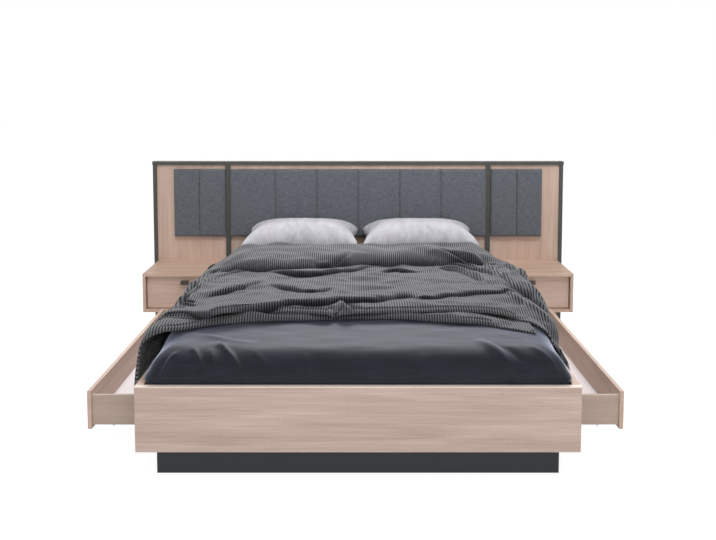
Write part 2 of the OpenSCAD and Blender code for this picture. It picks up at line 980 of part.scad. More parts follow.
// The foot and head hems run further towards the foot down the sides, most of all at the left foot corner
left_reach = 276;
right_reach = 96;
head_reach = 60;
function foot_line(s) =
    front_y + blanket_foot - smooth((abs(s) - 0.55) / 0.45) * (s < 0 ? left_reach : right_reach);
function head_line(s) = blanket_head - head_reach * smooth((abs(s) - 0.6) / 0.4);

hem_end = ns_front - ns_travel - 60;
hem_ramp = 200;
corner_end = front_y + 650;
corner_ramp = 560;

// Depth of the hem below the rail's top: deepest at the left foot corner, none beside the nightstands
function hem_drop(s, y) =
    let (corner = s < 0 ? smooth((corner_end - y) / corner_ramp) : 0)
    mix(side_drop, corner_drop, corner) * smooth((hem_end - y) / hem_ramp);

// The blanket's section has three stretches: s up to 0.6 over the bed, up to 0.84 round the shoulder, then down to the hem
flat_s = 0.6;
shoulder_s = 0.84;
hem_lift = 8;
blanket_play = 4;
first_fold = 14;
head_lift = 60;
head_ramp = 260;

// The blanket's loft over the cover at a point of the bed's top, where v runs from the foot hem to the head
function blanket_rise(x, y, a, v) =
    let (head = smooth((y - blanket_head + head_ramp) / head_ramp) * smooth((0.62 - a) / 0.2))
    mix(first_fold, blanket_loft + fold_at(x, y) + head_lift * head, smooth(v / 0.06));

// One point of the blanket's outer or inner surface.
// s runs from the left hem (-1) over the bed to the right hem (1), v from the foot to the head.
function blanket_point(s, v, inner) =
    let (y = mix(foot_line(s), head_line(s), v), side = s < 0 ? -1 : 1, a = abs(s))
    let (r = cover_round, shoulder = bed_half - 2, x0 = shoulder - r)
    a <= flat_s
        ? let (x = side * x0 * a / flat_s, z = cover_z(x, y) + blanket_play)
          [x, y, inner ? z : z + blanket_rise(x, y, a, v)]
        : a <= shoulder_s
            ? let (t = 90 * (a - flat_s) / (shoulder_s - flat_s), z = cover_z(x0, y) + blanket_play - r)
              inner
                ? [side * (x0 + (r - blanket_t) * sin(t)), y, z + r * cos(t)]
                : [side * (x0 + r * sin(t)), y, z + (r + blanket_rise(side * x0, y, a, v)) * cos(t)]
            : let (t = (a - shoulder_s) / (1 - shoulder_s), out = smooth(t / 0.3) * (blanket_t + 3))
              let (top = cover_top + blanket_play - r, hem = frame_top + hem_lift - hem_drop(s, y))
              [side * (shoulder + out - (inner ? blanket_t : 0)), y, mix(top, hem, t)];

module blanket() {
    across = [-1, -0.95, -0.9, -0.87, -0.84, -0.78, -0.72, -0.66, -0.6, -0.45, -0.3, -0.15, 0];
    s_all = concat(across, [for (k = [len(across) - 2 : -1 : 0]) -across[k]]);
    v_all = [0, 0.012, 0.06, for (k = [2 : 22]) k / 23 + 0.015, 1];
    outer = [for (v = v_all) [for (s = s_all) blanket_point(s, v, false)]];
    inner = [for (v = v_all) [for (s = s_all) blanket_point(s, v, true)]];
    color(GREY) slab(outer, inner);
}

pillow_tilt = 3;
pillow_rise = 12;
pillow_y = blanket_head + 8 + pillow_l / 2;
pillow_z = cover_top + pillow_t / 2 + pillow_rise;

// A point of a pillow: drawn in between its corners and thickest in the middle
function pillow_point(u, v, side) =
    let (x = pillow_w / 2 * u * (1 - 0.07 * (1 - v * v)), y = pillow_l / 2 * v * (1 - 0.06 * (1 - u * u)))
    let (z = side * pillow_t / 2 * pow((1 - pow(abs(u), 3)) * (1 - pow(abs(v), 2.6)), 0.5))
    [x, y * cos(pillow_tilt) - z * sin(pillow_tilt), y * sin(pillow_tilt) + z * cos(pillow_tilt)];

module pillow() {
    us = [-1, -0.95, -0.85, -0.65, -0.35, 0, 0.35, 0.65, 0.85, 0.95, 1];
    vs = [-1, -0.94, -0.8, -0.55, -0.2, 0.2, 0.55, 0.8, 0.94, 1];
    upper = [for (v = vs) [for (u = us) pillow_point(u, v, 1) + [0, 0, 1]]];
    lower = [for (v = vs) [for (u = us) pillow_point(u, v, -1) - [0, 0, 1]]];
    color(LINEN) slab(upper, lower);
}

module right_pillow() {
    translate([(pillow_w + pillow_apart) / 2, pillow_y, pillow_z]) pillow();
}

module left_pillow() {
    left() right_pillow();
}

plinth_boards();
footboard();
side_rail_left();
side_rail_right();
lower_side_panels();
drawer_dividers();
centre_spine();
slat_ledges();
slats();
corner_brackets();
frame_bolts();
headboard_centre_panel();
headboard_side_panels();
headboard_cap();
headboard_outer_trims();
headboard_inner_trims();
headboard_back_battens();
pad_boards();
centre_pad();
left_pad();
right_pad();
left_nightstand_top();
right_nightstand_top();
left_nightstand_sides();
right_nightstand_sides();
nightstand_bottoms();
nightstand_backs();
nightstand_runners();
left_nightstand_drawer_front();
left_nightstand_drawer_sides();
left_nightstand_drawer_back();
left_nightstand_drawer_bottom();
left_nightstand_drawer_handle();
left_nightstand_drawer_runner();
right_nightstand_drawer_front();
right_nightstand_drawer_sides();
right_nightstand_drawer_back();
right_nightstand_drawer_bottom();
right_nightstand_drawer_handle();
right_nightstand_drawer_runner();
under_drawer_runners();
left_under_drawer_front();
left_under_drawer_ends();
left_under_drawer_back();
left_under_drawer_bottom();
left_under_drawer_stiffener();
left_under_drawer_middle_runner();
left_under_drawer_inner_runner();
right_under_drawer_front();
right_under_drawer_ends();
right_under_drawer_back();
right_under_drawer_bottom();
right_under_drawer_stiffener();
right_under_drawer_middle_runner();
right_under_drawer_inner_runner();
mattress();
bed_cover();
blanket();
left_pillow();
right_pillow();
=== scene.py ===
# %% [markdown]
# # A double bed with hung nightstands
#
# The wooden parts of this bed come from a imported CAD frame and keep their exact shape. This lesson
# gives every board its finish and builds the soft parts as meshes: sewn pads, a mattress, a fitted
# cover, a rib-knit blanket laid in folds and two pillows. Each soft surface is worked out with numpy
# on a grid, so a shape is a formula that you can read and change. All lengths are in metres.

# %% Load the frame
import math

import bpy
import numpy as np
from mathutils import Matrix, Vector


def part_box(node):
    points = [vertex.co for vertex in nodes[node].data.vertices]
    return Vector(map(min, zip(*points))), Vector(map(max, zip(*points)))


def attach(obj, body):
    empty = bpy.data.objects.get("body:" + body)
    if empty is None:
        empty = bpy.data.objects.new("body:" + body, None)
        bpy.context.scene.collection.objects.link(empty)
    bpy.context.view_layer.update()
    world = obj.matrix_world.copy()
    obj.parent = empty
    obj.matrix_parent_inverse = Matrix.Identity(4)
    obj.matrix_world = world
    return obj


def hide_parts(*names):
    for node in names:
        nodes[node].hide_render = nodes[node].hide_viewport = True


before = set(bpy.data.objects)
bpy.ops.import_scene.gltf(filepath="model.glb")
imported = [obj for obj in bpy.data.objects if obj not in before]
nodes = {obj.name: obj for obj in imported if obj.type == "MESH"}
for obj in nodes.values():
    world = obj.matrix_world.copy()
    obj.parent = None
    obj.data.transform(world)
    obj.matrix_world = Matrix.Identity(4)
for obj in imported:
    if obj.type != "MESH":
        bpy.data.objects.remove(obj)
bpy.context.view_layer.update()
print("nodes in the frame:", len(nodes))

# %% [markdown]
# ## Camera
#
# The photograph looks level along the bed from 1.45 m above the floor, and its horizon lies high in
# the picture. A level camera with a large lens shift would copy that exactly, but a large shift pushes
# the object out of every other view. So the camera here shares the work: about a third comes from a
# small tilt and the rest from a shift. The numbers are the best fit to the bed's corners.

# %% Camera
PICTURE_W = 716
FOCAL_PIXELS = 794.69
SENSOR = 36.0
CAMERA_PLACE = (0, -3.9262, 1.4518)
CAMERA_TILT = 0.0702
CAMERA_SHIFT = -0.17

camera_data = bpy.data.cameras.new("camera")
camera_data.sensor_width = SENSOR
camera_data.lens = FOCAL_PIXELS / PICTURE_W * SENSOR
camera_data.shift_y = CAMERA_SHIFT
camera = bpy.data.objects.new("camera", camera_data)
camera.location = CAMERA_PLACE
camera.rotation_euler = (math.pi / 2 - CAMERA_TILT, 0, 0)
bpy.context.scene.collection.objects.link(camera)
bpy.context.scene.camera = camera
print("lens", round(camera_data.lens, 2), "mm")

# %% [markdown]
# ## Sizes that several pieces share
#
# The CAD boxes give the places, so nothing is typed twice: the mattress and the cover decide how high
# the bedding lies, and the top of the side rail is where the cover disappears into the frame.

# %% Shared sizes
def box_of(name):
    """The lowest and highest corner of a CAD node, as two arrays."""
    low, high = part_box(name)
    return np.array(low), np.array(high)


mattress_low, mattress_high = box_of("mattress")
cover_low, cover_high = box_of("bed_cover")
RAIL_TOP = box_of("side_rail_right")[1][2]
print("rail top", round(RAIL_TOP, 4), "cover top", round(cover_high[2], 4))

# %% [markdown]
# ## Grid helpers
#
# Every soft piece is one or two grids of points. `grid_piece` turns an array of points into quads and
# stores the pattern coordinates that its cloth needs as a UV map, in metres, so that a rib or a thread
# keeps its width wherever the cloth lies.

# %% Grid helpers
def smooth(t):
    """A ramp from 0 to 1 with flat ends: 3t^2 - 2t^3."""
    t = np.clip(t, 0, 1)
    return t * t * (3 - 2 * t)


def mix(a, b, t):
    """The value that lies a share t of the way from a to b."""
    return a + (b - a) * t


def quads(index):
    """Quads between the neighbours in a grid of point numbers, row by row."""
    corners = [index[:-1, :-1], index[:-1, 1:], index[1:, 1:], index[1:, :-1]]
    return np.stack([c.ravel() for c in corners], 1)


def grid_faces(rows, cols, start=0):
    """Quads of a whole grid whose points are numbered from start."""
    return quads(start + np.arange(rows * cols).reshape(rows, cols))


def finish_mesh(name, points, faces, uv=None, body="bed"):
    """Makes the object, gives it its UV map and lets it ride on its body."""
    mesh = bpy.data.meshes.new(name)
    mesh.from_pydata(points.reshape(-1, 3), [], faces.tolist())
    mesh.validate()
    if uv is not None:
        layer = mesh.uv_layers.new(name="cloth")
        corner = np.zeros(len(mesh.loops), np.int32)
        mesh.loops.foreach_get("vertex_index", corner)
        layer.data.foreach_set("uv", uv.reshape(-1, 2)[corner].astype(np.float32).ravel())
    mesh.polygons.foreach_set("use_smooth", np.full(len(mesh.polygons), True))
    piece = bpy.data.objects.new(name, mesh)
    bpy.context.scene.collection.objects.link(piece)
    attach(piece, body)
    print(f"{name}: {len(mesh.vertices)} points, {len(mesh.polygons)} faces")
    return piece


def grid_piece(name, points, uv=None, body="bed"):
    """One open sheet from a (rows, cols, 3) array of points."""
    rows, cols = points.shape[:2]
    return finish_mesh(name, points, grid_faces(rows, cols), uv, body)


def normals_of(points):
    """Unit normals of a grid: the cross product of its two directions."""
    across = np.gradient(points, axis=1)
    along = np.gradient(points, axis=0)
    normal = np.cross(across, along)
    return normal / np.maximum(np.linalg.norm(normal, axis=2, keepdims=True), 1e-12)


# %% [markdown]
# ## Shader helpers
#
# A finish is a small tree of nodes, and a tree could also be clicked together by hand. Written as code
# it can be read, and what repeats becomes a helper: noise on stretched coordinates, a range that is
# mapped to another, a weighted sum, a mix of two colours, and a bump that shades fine relief.

# %% Shader helpers
MIX_COLOURS = (6, 7)
MIX_RESULT = 2


def set_inputs(node, values):
    """Writes a plain value into each named socket of a node."""
    for socket, value in values.items():
        node.inputs[socket].default_value = value


class Finish:
    """A material with its tree and its one surface shader."""

    def __init__(self, name):
        self.material = bpy.data.materials.new(name)
        self.material.use_nodes = True
        self.tree = self.material.node_tree
        self.surface = self.tree.nodes["Principled BSDF"]

    def add(self, kind, **values):
        """A new node of one kind, with its settings."""
        node = self.tree.nodes.new(kind)
        for key, value in values.items():
            setattr(node, key, value)
        return node

    def link(self, source, target):
        self.tree.links.new(source, target)

    def feed(self, socket, value):
        """Gives a socket a number, a colour tuple or the output of another node."""
        if isinstance(value, (int, float)):
            socket.default_value = value
        elif isinstance(value, tuple):
            socket.default_value = (*value, 1)
        else:
            self.link(value, socket)

    def coordinates(self, scale, kind="Object", offset=(0, 0, 0)):
        """Pattern coordinates, multiplied by a scale per axis."""
        source = self.add("ShaderNodeTexCoord")
        mapping = self.add("ShaderNodeMapping")
        set_inputs(mapping, {"Scale": scale, "Location": offset})
        self.link(source.outputs[kind], mapping.inputs["Vector"])
        return mapping.outputs["Vector"]

    def separate(self, scale, kind="Object"):
        """The X, Y and Z of scaled pattern coordinates as single values."""
        split = self.add("ShaderNodeSeparateXYZ")
        self.link(self.coordinates(scale, kind), split.inputs["Vector"])
        return split.outputs

    def noise(self, scale, detail=3, roughness=0.55, distortion=0.0, kind="Object", offset=(0, 0, 0)):
        """Noise on pattern coordinates with a scale per axis: the larger the scale, the finer it is."""
        node = self.add("ShaderNodeTexNoise")
        set_inputs(node, {"Scale": 1, "Detail": detail, "Roughness": roughness, "Distortion": distortion})
        self.link(self.coordinates(scale, kind, offset), node.inputs["Vector"])
        return node.outputs["Fac"]

    def spread(self, value, low, high, to_low=0.0, to_high=1.0):
        """Maps the range low..high to another range, clamped."""
        node = self.add("ShaderNodeMapRange", clamp=True)
        set_inputs(node, {"From Min": low, "From Max": high, "To Min": to_low, "To Max": to_high})
        self.link(value, node.inputs["Value"])
        return node.outputs["Result"]

    def math(self, operation, *values):
        """One step of arithmetic on one or two values."""
        node = self.add("ShaderNodeMath", operation=operation)
        for socket, value in zip(node.inputs, values):
            self.feed(socket, value)
        return node.outputs["Value"]

    def weighted(self, *pairs):
        """The sum of several outputs, each times its weight, from pairs of (output, weight)."""
        total = self.math("MULTIPLY", *pairs[0])
        for pair in pairs[1:]:
            total = self.math("ADD", total, self.math("MULTIPLY", *pair))
        return total

    def blend(self, amount, a, b):
        """Mixes two colours, each a colour tuple or an output."""
        node = self.add("ShaderNodeMix", data_type="RGBA")
        self.feed(node.inputs["Factor"], amount)
        for place, value in zip(MIX_COLOURS, (a, b)):
            self.feed(node.inputs[place], value)
        return node.outputs[MIX_RESULT]

    def set(self, values):
        """Plain values for the surface shader, by the names of its sockets."""
        set_inputs(self.surface, values)

    def colour(self, output):
        self.link(output, self.surface.inputs["Base Color"])

    def roughness(self, output):
        self.link(output, self.surface.inputs["Roughness"])

    def relief(self, height, distance, strength):
        """A bump: shades the surface as if it rose by the height times the distance, in metres."""
        node = self.add("ShaderNodeBump")
        set_inputs(node, {"Distance": distance, "Strength": strength})
        self.link(height, node.inputs["Height"])
        self.link(node.outputs["Normal"], self.surface.inputs["Normal"])


def srgb(red, green, blue):
    """A colour picked from 0 to 255, in the linear values that a shader takes."""
    picked = np.array([red, green, blue]) / 255
    linear = np.where(picked <= 0.04045, picked / 12.92, ((picked + 0.055) / 1.055) ** 2.4)
    return tuple(float(c) for c in linear)


def times(colour, share):
    """A colour made lighter or darker by one factor, at most 1 in each channel."""
    return tuple(min(1, share * c) for c in colour)


# %% [markdown]
# ## Wood decor
#
# The boards are chipboard with a printed oak decor and a thin edge band. Real decor shows three scales
# at once: broad light and dark zones, fine streaks along the grain, and short dark pores. All of them
# are the same noise, stretched by different amounts along one axis. Fine lines come from a wave texture
# that the noise distorts, which draws the pointed arches of flat-sawn timber. The direction of the
# grain is a parameter, because panels run upwards and drawer fronts run sideways. The footboard also
# gets knots, and a pale band on the top few millimetres of the board. The band is partly the lighter
# edge band and partly a painted highlight, which stands for the light on the board's top edge.

# %% Layers of the decor
GRAIN_ALONG = {"x": 0, "y": 1, "z": 2}

# Each layer: noise scale along the grain, scale across it, detail, roughness, distortion.
ZONES = (1.3, 15.0, 4, 0.55, 0.9)
STREAKS = (3.0, 130.0, 5, 0.62, 0.25)
FIBRES = (14.0, 700.0, 4, 0.6, 0.0)
PORES = (42.0, 1500.0, 1, 0.4, 0.0)
ARCH_PLACES = (1.6, 5.0, 2, 0.5, 0.0)
ARCH_SCALE = (0.16, 1.0)
ARCH_WAVE = {"Scale": 70.0, "Distortion": 16.0, "Detail": 2.0, "Detail Scale": 0.14, "Detail Roughness": 0.5}
KNOT_SCALE = (2.1, 7.0)
KNOT_CORE, KNOT_EDGE = 0.035, 0.13
PORE_SHARE = 0.5
# The footboard's pale top band: partly the lighter edge band, partly a painted highlight of its top edge.
BAND_HEIGHT = 0.0028
BAND_BLEND = 0.0008
EDGE_BAND_AND_HIGHLIGHT = srgb(250, 232, 218)


def stretched(axis, along, across):
    """A scale per axis: small along the grain, large across it."""
    scale = [across, across, across]
    scale[GRAIN_ALONG[axis]] = along
    return tuple(scale)


def grain(finish, axis, offset, layer):
    """The noise of one layer of the decor."""
    along, across, *character = layer
    return finish.noise(stretched(axis, along, across), *character, offset=offset)


def sawn_arches(finish, axis, offset):
    """Arches: bands of a distorted wave, seen only in the places where a broad noise is high."""
    wave = finish.add("ShaderNodeTexWave", wave_type="BANDS", bands_direction="DIAGONAL")
    set_inputs(wave, ARCH_WAVE)
    finish.link(finish.coordinates(stretched(axis, *ARCH_SCALE), offset=offset), wave.inputs["Vector"])
    places = grain(finish, axis, offset, ARCH_PLACES)
    return finish.math("MULTIPLY", finish.spread(wave.outputs["Fac"], 0.55, 1.0),
                       finish.spread(places, 0.45, 0.62))


def knot_cores(finish, axis, offset, share):
    """Knots: dark where a point is close to the centre of its Voronoi cell."""
    cells = finish.add("ShaderNodeTexVoronoi", feature="F1")
    set_inputs(cells, {"Scale": 1.0})
    finish.link(finish.coordinates(stretched(axis, *KNOT_SCALE), offset=offset), cells.inputs["Vector"])
    return finish.spread(cells.outputs["Distance"], KNOT_CORE, KNOT_EDGE, share, 0.0)


# %% [markdown]
# A board's tone is one number from pale to dark. Zones, streaks, fibres and arches each give a part of
# it, and the weights say how much each of them shows. A picture of oak could do the same, but it would
# repeat from board to board, and noise on the board's own coordinates never does.

# %% Wood decor
def wood(name, axis, pale, dark, arches, knots=0.0, rough=0.52, shift=0.0, band=None):
    """Oak decor. Its tone, from pale to dark, is a weighted sum of zones, streaks, fibres and arches.

    The shift slides the pattern, so that two decors differ. The band is the height of the board's top
    edge, below which the pale band shows: partly edge band, partly a painted highlight of that edge."""
    finish = Finish(name)
    offset = (shift, shift * 0.7, shift * 1.3)
    zones, streaks, fibres, pores = (grain(finish, axis, offset, layer)
                                     for layer in (ZONES, STREAKS, FIBRES, PORES))
    tone = finish.weighted((finish.spread(zones, 0.34, 0.66), 0.44),
                           (finish.spread(streaks, 0.36, 0.64), 0.34),
                           (finish.spread(fibres, 0.3, 0.7), 0.14),
                           (sawn_arches(finish, axis, offset), arches))
    seen_pores = finish.spread(pores, 0.66, 0.78, 0.0, PORE_SHARE)
    colour = finish.blend(seen_pores, finish.blend(tone, pale, dark), times(dark, 0.55))
    if knots:
        colour = finish.blend(knot_cores(finish, axis, offset, knots), colour, times(dark, 0.6))
    # A pale band at the top edge: partly the edge band, partly a painted highlight.
    if band is not None:
        foot_of_band = band - BAND_HEIGHT
        height = finish.separate((1, 1, 1))["Z"]
        band_and_highlight = finish.spread(height, foot_of_band - BAND_BLEND, foot_of_band)
        colour = finish.blend(band_and_highlight, colour, EDGE_BAND_AND_HIGHLIGHT)
    finish.colour(colour)
    finish.roughness(finish.spread(streaks, 0.3, 0.7, rough - 0.05, rough + 0.07))
    finish.relief(finish.weighted((fibres, 0.5), (seen_pores, -1.0)), 0.00012, 0.5)
    finish.set({"Specular IOR Level": 0.35})
    return finish.material


# %% [markdown]
# The same decor looks different from board to board, because some stand upright and some lie in the
# light. Each place has its own pair of colours, a pale one and a dark one, read from the photograph.
# The wood inside and behind the bed is plain, and a little yellower.

# %% Colours of the boards
UPRIGHT = (srgb(219, 194, 179), srgb(189, 161, 144))
FRONT = (srgb(222, 197, 181), srgb(194, 166, 149))
TOP = (srgb(232, 202, 182), srgb(192, 160, 140))
FOOT = (srgb(216, 193, 181), srgb(174, 148, 135))
DRAWER_BOX = (srgb(202, 182, 168), srgb(176, 156, 142))
PLAIN = (srgb(214, 196, 166), srgb(186, 162, 128))

oak_upright = wood("oak_upright", "z", *UPRIGHT, arches=0.30)
oak_across = wood("oak_across", "x", *FRONT, arches=0.32, shift=0.37)
oak_foot = wood("oak_foot", "x", *FOOT, arches=0.16, knots=0.5, shift=0.11, band=RAIL_TOP)
oak_along = wood("oak_along", "y", *UPRIGHT, arches=0.28, shift=0.71)
oak_top = wood("oak_top", "x", *TOP, arches=0.30, shift=0.53)
box_across = wood("drawer_box_across", "x", *DRAWER_BOX, arches=0.2, shift=0.2)
box_along = wood("drawer_box_along", "y", *DRAWER_BOX, arches=0.2, shift=0.9)
plain_across = wood("plain_wood_across", "x", *PLAIN, arches=0.4, rough=0.65, shift=0.6)
plain_along = wood("plain_wood_along", "y", *PLAIN, arches=0.4, rough=0.65, shift=0.8)
print("wood finishes, from", oak_upright.name, "to", plain_along.name)

# %% [markdown]
# ## Laminates, board, metal
#
# The dark trims and the plinth are a matt laminate: almost one colour, with a fine pressed texture that
# breaks up the highlight. The drawer bottoms are white board. The fittings are zinc-plated steel, whose
# roughness varies in fine lines along the metal.

# %% Laminates, board, metal
def laminate(name, colour, rough=0.55, cloud=0.12):
    """A matt laminate with a pressed grain and faint clouds."""
    finish = Finish(name)
    clouds = finish.noise((4, 4, 4))
    speck = finish.noise((900, 900, 900), 2)
    darker, lighter = times(colour, 1 - cloud), times(colour, 1 + cloud)
    finish.colour(finish.blend(finish.spread(clouds, 0.3, 0.7), darker, lighter))
    finish.roughness(finish.spread(speck, 0.3, 0.7, rough - 0.08, rough + 0.08))
    finish.relief(speck, 0.00008, 0.35)
    finish.set({"Specular IOR Level": 0.4})
    return finish.material


def steel(name, axis):
    """Zinc-plated steel with fine rolling lines along one axis."""
    finish = Finish(name)
    lines = finish.noise(stretched(axis, 20, 1400))
    clouds = finish.noise((30, 30, 30))
    finish.colour(finish.blend(finish.spread(clouds, 0.3, 0.7), srgb(168, 170, 172), srgb(198, 200, 200)))
    finish.roughness(finish.spread(lines, 0.3, 0.7, 0.28, 0.48))
    finish.relief(lines, 0.00004, 0.4)
    finish.set({"Metallic": 1.0})
    return finish.material


dark_trim = laminate("anthracite_laminate", srgb(72, 72, 68))
plinth_dark = laminate("plinth_laminate", srgb(26, 29, 32))
handle_dark = laminate("handle_lacquer", srgb(70, 64, 58), rough=0.36)
white_board = laminate("white_board", srgb(244, 236, 238), cloud=0.02)
steel_x = steel("zinc_steel_x", "x")
steel_y = steel("zinc_steel_y", "y")
steel_z = steel("zinc_steel_z", "z")

# %% [markdown]
# ## Which board gets which finish
#
# A table maps each CAD node to its finish. A decor sheet is cut so that its grain runs along a board,
# upwards on the headboard and sideways on the fronts. Painting each board by hand would be quicker for
# one bed, but a table can be read and changed in one place.

# %% Finishes for the CAD nodes
def sided(pattern):
    """The names of a left and a right piece."""
    return [pattern.format("left"), pattern.format("right")]


FINISHES = [
    (oak_upright, ["headboard_centre_panel", "headboard_side_panels"]),
    (oak_foot, ["footboard"]),
    (oak_along, ["side_rail_left", "side_rail_right", "lower_side_panels", *sided("{}_under_drawer_front")]),
    (oak_top, [*sided("{}_nightstand_top"), "nightstand_bottoms"]),
    (oak_across, sided("{}_nightstand_drawer_front")),
    (oak_along, sided("{}_nightstand_sides")),
    (plain_across, ["drawer_dividers", "slats", "headboard_back_battens", "nightstand_backs", "pad_boards"]),
    (plain_along, ["centre_spine", "slat_ledges"]),
    (box_across, [*sided("{}_under_drawer_ends"), *sided("{}_under_drawer_stiffener"),
                  *sided("{}_nightstand_drawer_back")]),
    (box_along, [*sided("{}_under_drawer_back"), *sided("{}_nightstand_drawer_sides")]),
    (white_board, [*sided("{}_under_drawer_bottom"), *sided("{}_nightstand_drawer_bottom")]),
    (dark_trim, ["headboard_cap", "headboard_outer_trims", "headboard_inner_trims"]),
    (plinth_dark, ["plinth_boards"]),
    (handle_dark, sided("{}_nightstand_drawer_handle")),
    (steel_z, ["corner_brackets", "frame_bolts"]),
    (steel_y, ["nightstand_runners", *sided("{}_nightstand_drawer_runner")]),
    (steel_x, ["under_drawer_runners", *sided("{}_under_drawer_middle_runner"),
               *sided("{}_under_drawer_inner_runner")]),
]

# %% [markdown]
# The boards also get a small rounded edge, because an edge band has about a millimetre of radius and
# catches a thin line of light. The CAD mesh is loose triangles, so a Weld modifier joins it first and
# a Bevel modifier then rounds only the sharp edges. Neither changes the CAD mesh itself.

# %% Put the finishes on, and round the edges of the boards
EDGE_RADIUS = 0.0009
WELD_DISTANCE = 0.00002
SHARP_ANGLE = math.radians(40)


def round_edges(board):
    """Joins the loose triangles of a board and rounds the edges that turn by more than SHARP_ANGLE."""
    weld = board.modifiers.new("join_triangles", "WELD")
    weld.merge_threshold = WELD_DISTANCE
    bevel = board.modifiers.new("edge_band", "BEVEL")
    bevel.width = EDGE_RADIUS
    bevel.segments = 2
    bevel.limit_method = "ANGLE"
    bevel.angle_limit = SHARP_ANGLE


finished = set()
for material, names in FINISHES:
    for name in names:
        mesh = nodes[name].data
        mesh.materials.clear()
        mesh.materials.append(material)
        finished.add(name)
        if "steel" not in material.name:
            round_edges(nodes[name])
print("finished", len(finished), "boards and fittings; still to make:", sorted(set(nodes) - finished))

# %% [markdown]
# ## Woven fabric for the pads
#
# The pads are covered with a blue-grey melange: light and dark yarns are spun together, so the cloth
# looks speckled from near and slightly streaked from further away. The weave is two crossing rows of
# rounded threads, made from sine waves of the cloth's own coordinates.

# %% Woven fabric
THREAD_PITCH = 0.0016


def weave(finish, pitch):
    """A plain weave as a height from 0 to 1: |sin(pi x / pitch) sin(pi y / pitch)|."""
    place = finish.separate((1 / pitch, 1 / pitch, 1), "UV")
    across, up = (finish.math("SINE", finish.math("MULTIPLY", place[axis], math.pi)) for axis in "XY")
    return finish.math("ABSOLUTE", finish.math("MULTIPLY", across, up))


def pad_fabric(name):
    """Melange weave with slubs: thicker places in the yarn, long across and long upwards."""
    finish = Finish(name)
    height = weave(finish, THREAD_PITCH)
    slub_across = finish.noise((26, 210, 1), 4, 0.6, kind="UV")
    slub_up = finish.noise((230, 30, 1), 4, 0.6, kind="UV")
    speckle = finish.noise((900, 900, 1), 2, kind="UV")
    tone = finish.weighted((slub_across, 0.42), (slub_up, 0.36), (speckle, 0.22))
    colour = finish.blend(finish.spread(tone, 0.38, 0.62), srgb(80, 83, 89), srgb(120, 124, 132))
    # Painted shade: the colour is darker in the low places of the weave, between the threads.
    colour = finish.blend(finish.spread(height, 0.0, 0.35, 0.28, 0.0), colour, srgb(58, 60, 66))
    finish.colour(colour)
    finish.relief(finish.weighted((height, 1.0), (slub_across, 0.6)), 0.0004, 0.7)
    finish.set({"Roughness": 0.92, "Sheen Weight": 0.25, "Sheen Roughness": 0.5, "Specular IOR Level": 0.2})
    return finish.material


pad_cloth = pad_fabric("pad_melange")

# %% [markdown]
# ## Sewn pads
#
# Each pad is foam under cloth, sewn to its board along vertical seams. In section a field between two
# seams bulges like a shallow cushion: full in the middle, drawn in to a narrow groove at each seam. The
# height is the CAD pad's own formula, `(1 - |2t - 1|^2.6)^0.5`, with t running from seam to seam, plus
# small puckers that fade away from the thread. The four edges turn back to the board with a tight
# radius. One grid can hold all of this, so a pad needs no modifier.

# %% Section of a pad
PAD_FACE = 0.031
SKIRT = 0.45 * PAD_FACE
SEAM_PITCH = 0.257
SEAM_DEPTH = 0.0105
GROOVE_DEPTH, GROOVE_WIDTH = 0.0060, 0.0042
FIELD_WIDTH = 0.25
EDGE_TURN = 0.016
END_REACH = 0.05
UPRIGHT_CROWN = 0.10
PUCKER, PUCKER_REACH = 0.0009, 0.035
PUCKER_LENGTHS = (0.021, 0.034, 0.055)
FIELD_COLUMNS, PAD_ROWS = 37, 61


def pad_section(t):
    """The share of full height at t, from 0 at one seam to 1 at the next."""
    return np.sqrt(np.clip(1 - np.abs(2 * t - 1) ** 2.6, 0, 1))


def edge_turn(distance):
    """The turn back to the board: a quarter circle that reaches 1 at EDGE_TURN from the edge."""
    return np.sqrt(np.clip(1 - (1 - np.clip(distance / EDGE_TURN, 0, 1)) ** 2, 0, 1))


def field_steps(a, b, count):
    """Positions from a to b that crowd towards both ends, where the cloth turns into the seam."""
    even = np.linspace(0, 1, count)
    t = mix(even, 0.5 - 0.5 * np.cos(np.pi * even), 0.75)
    return a + (b - a) * t, t


def pad_columns(seams):
    """Each column's x, its share t of the way between two seams, and the number of its field."""
    columns = []
    for k in range(len(seams) - 1):
        xs, t = field_steps(seams[k], seams[k + 1], FIELD_COLUMNS)
        end = FIELD_COLUMNS if k == len(seams) - 2 else FIELD_COLUMNS - 1
        columns.append(np.stack([xs, t, np.full(len(xs), k)])[:, :end])
    x, t, field = np.concatenate(columns, axis=1)
    return x, t, field.astype(int)


# %% [markdown]
# A pad's depth combines three things: the section across, with its fields and grooves, a low crown
# upwards, and the turns at the four edges. Sculpting could give the same look, but a formula keeps every
# seam straight and every field alike.

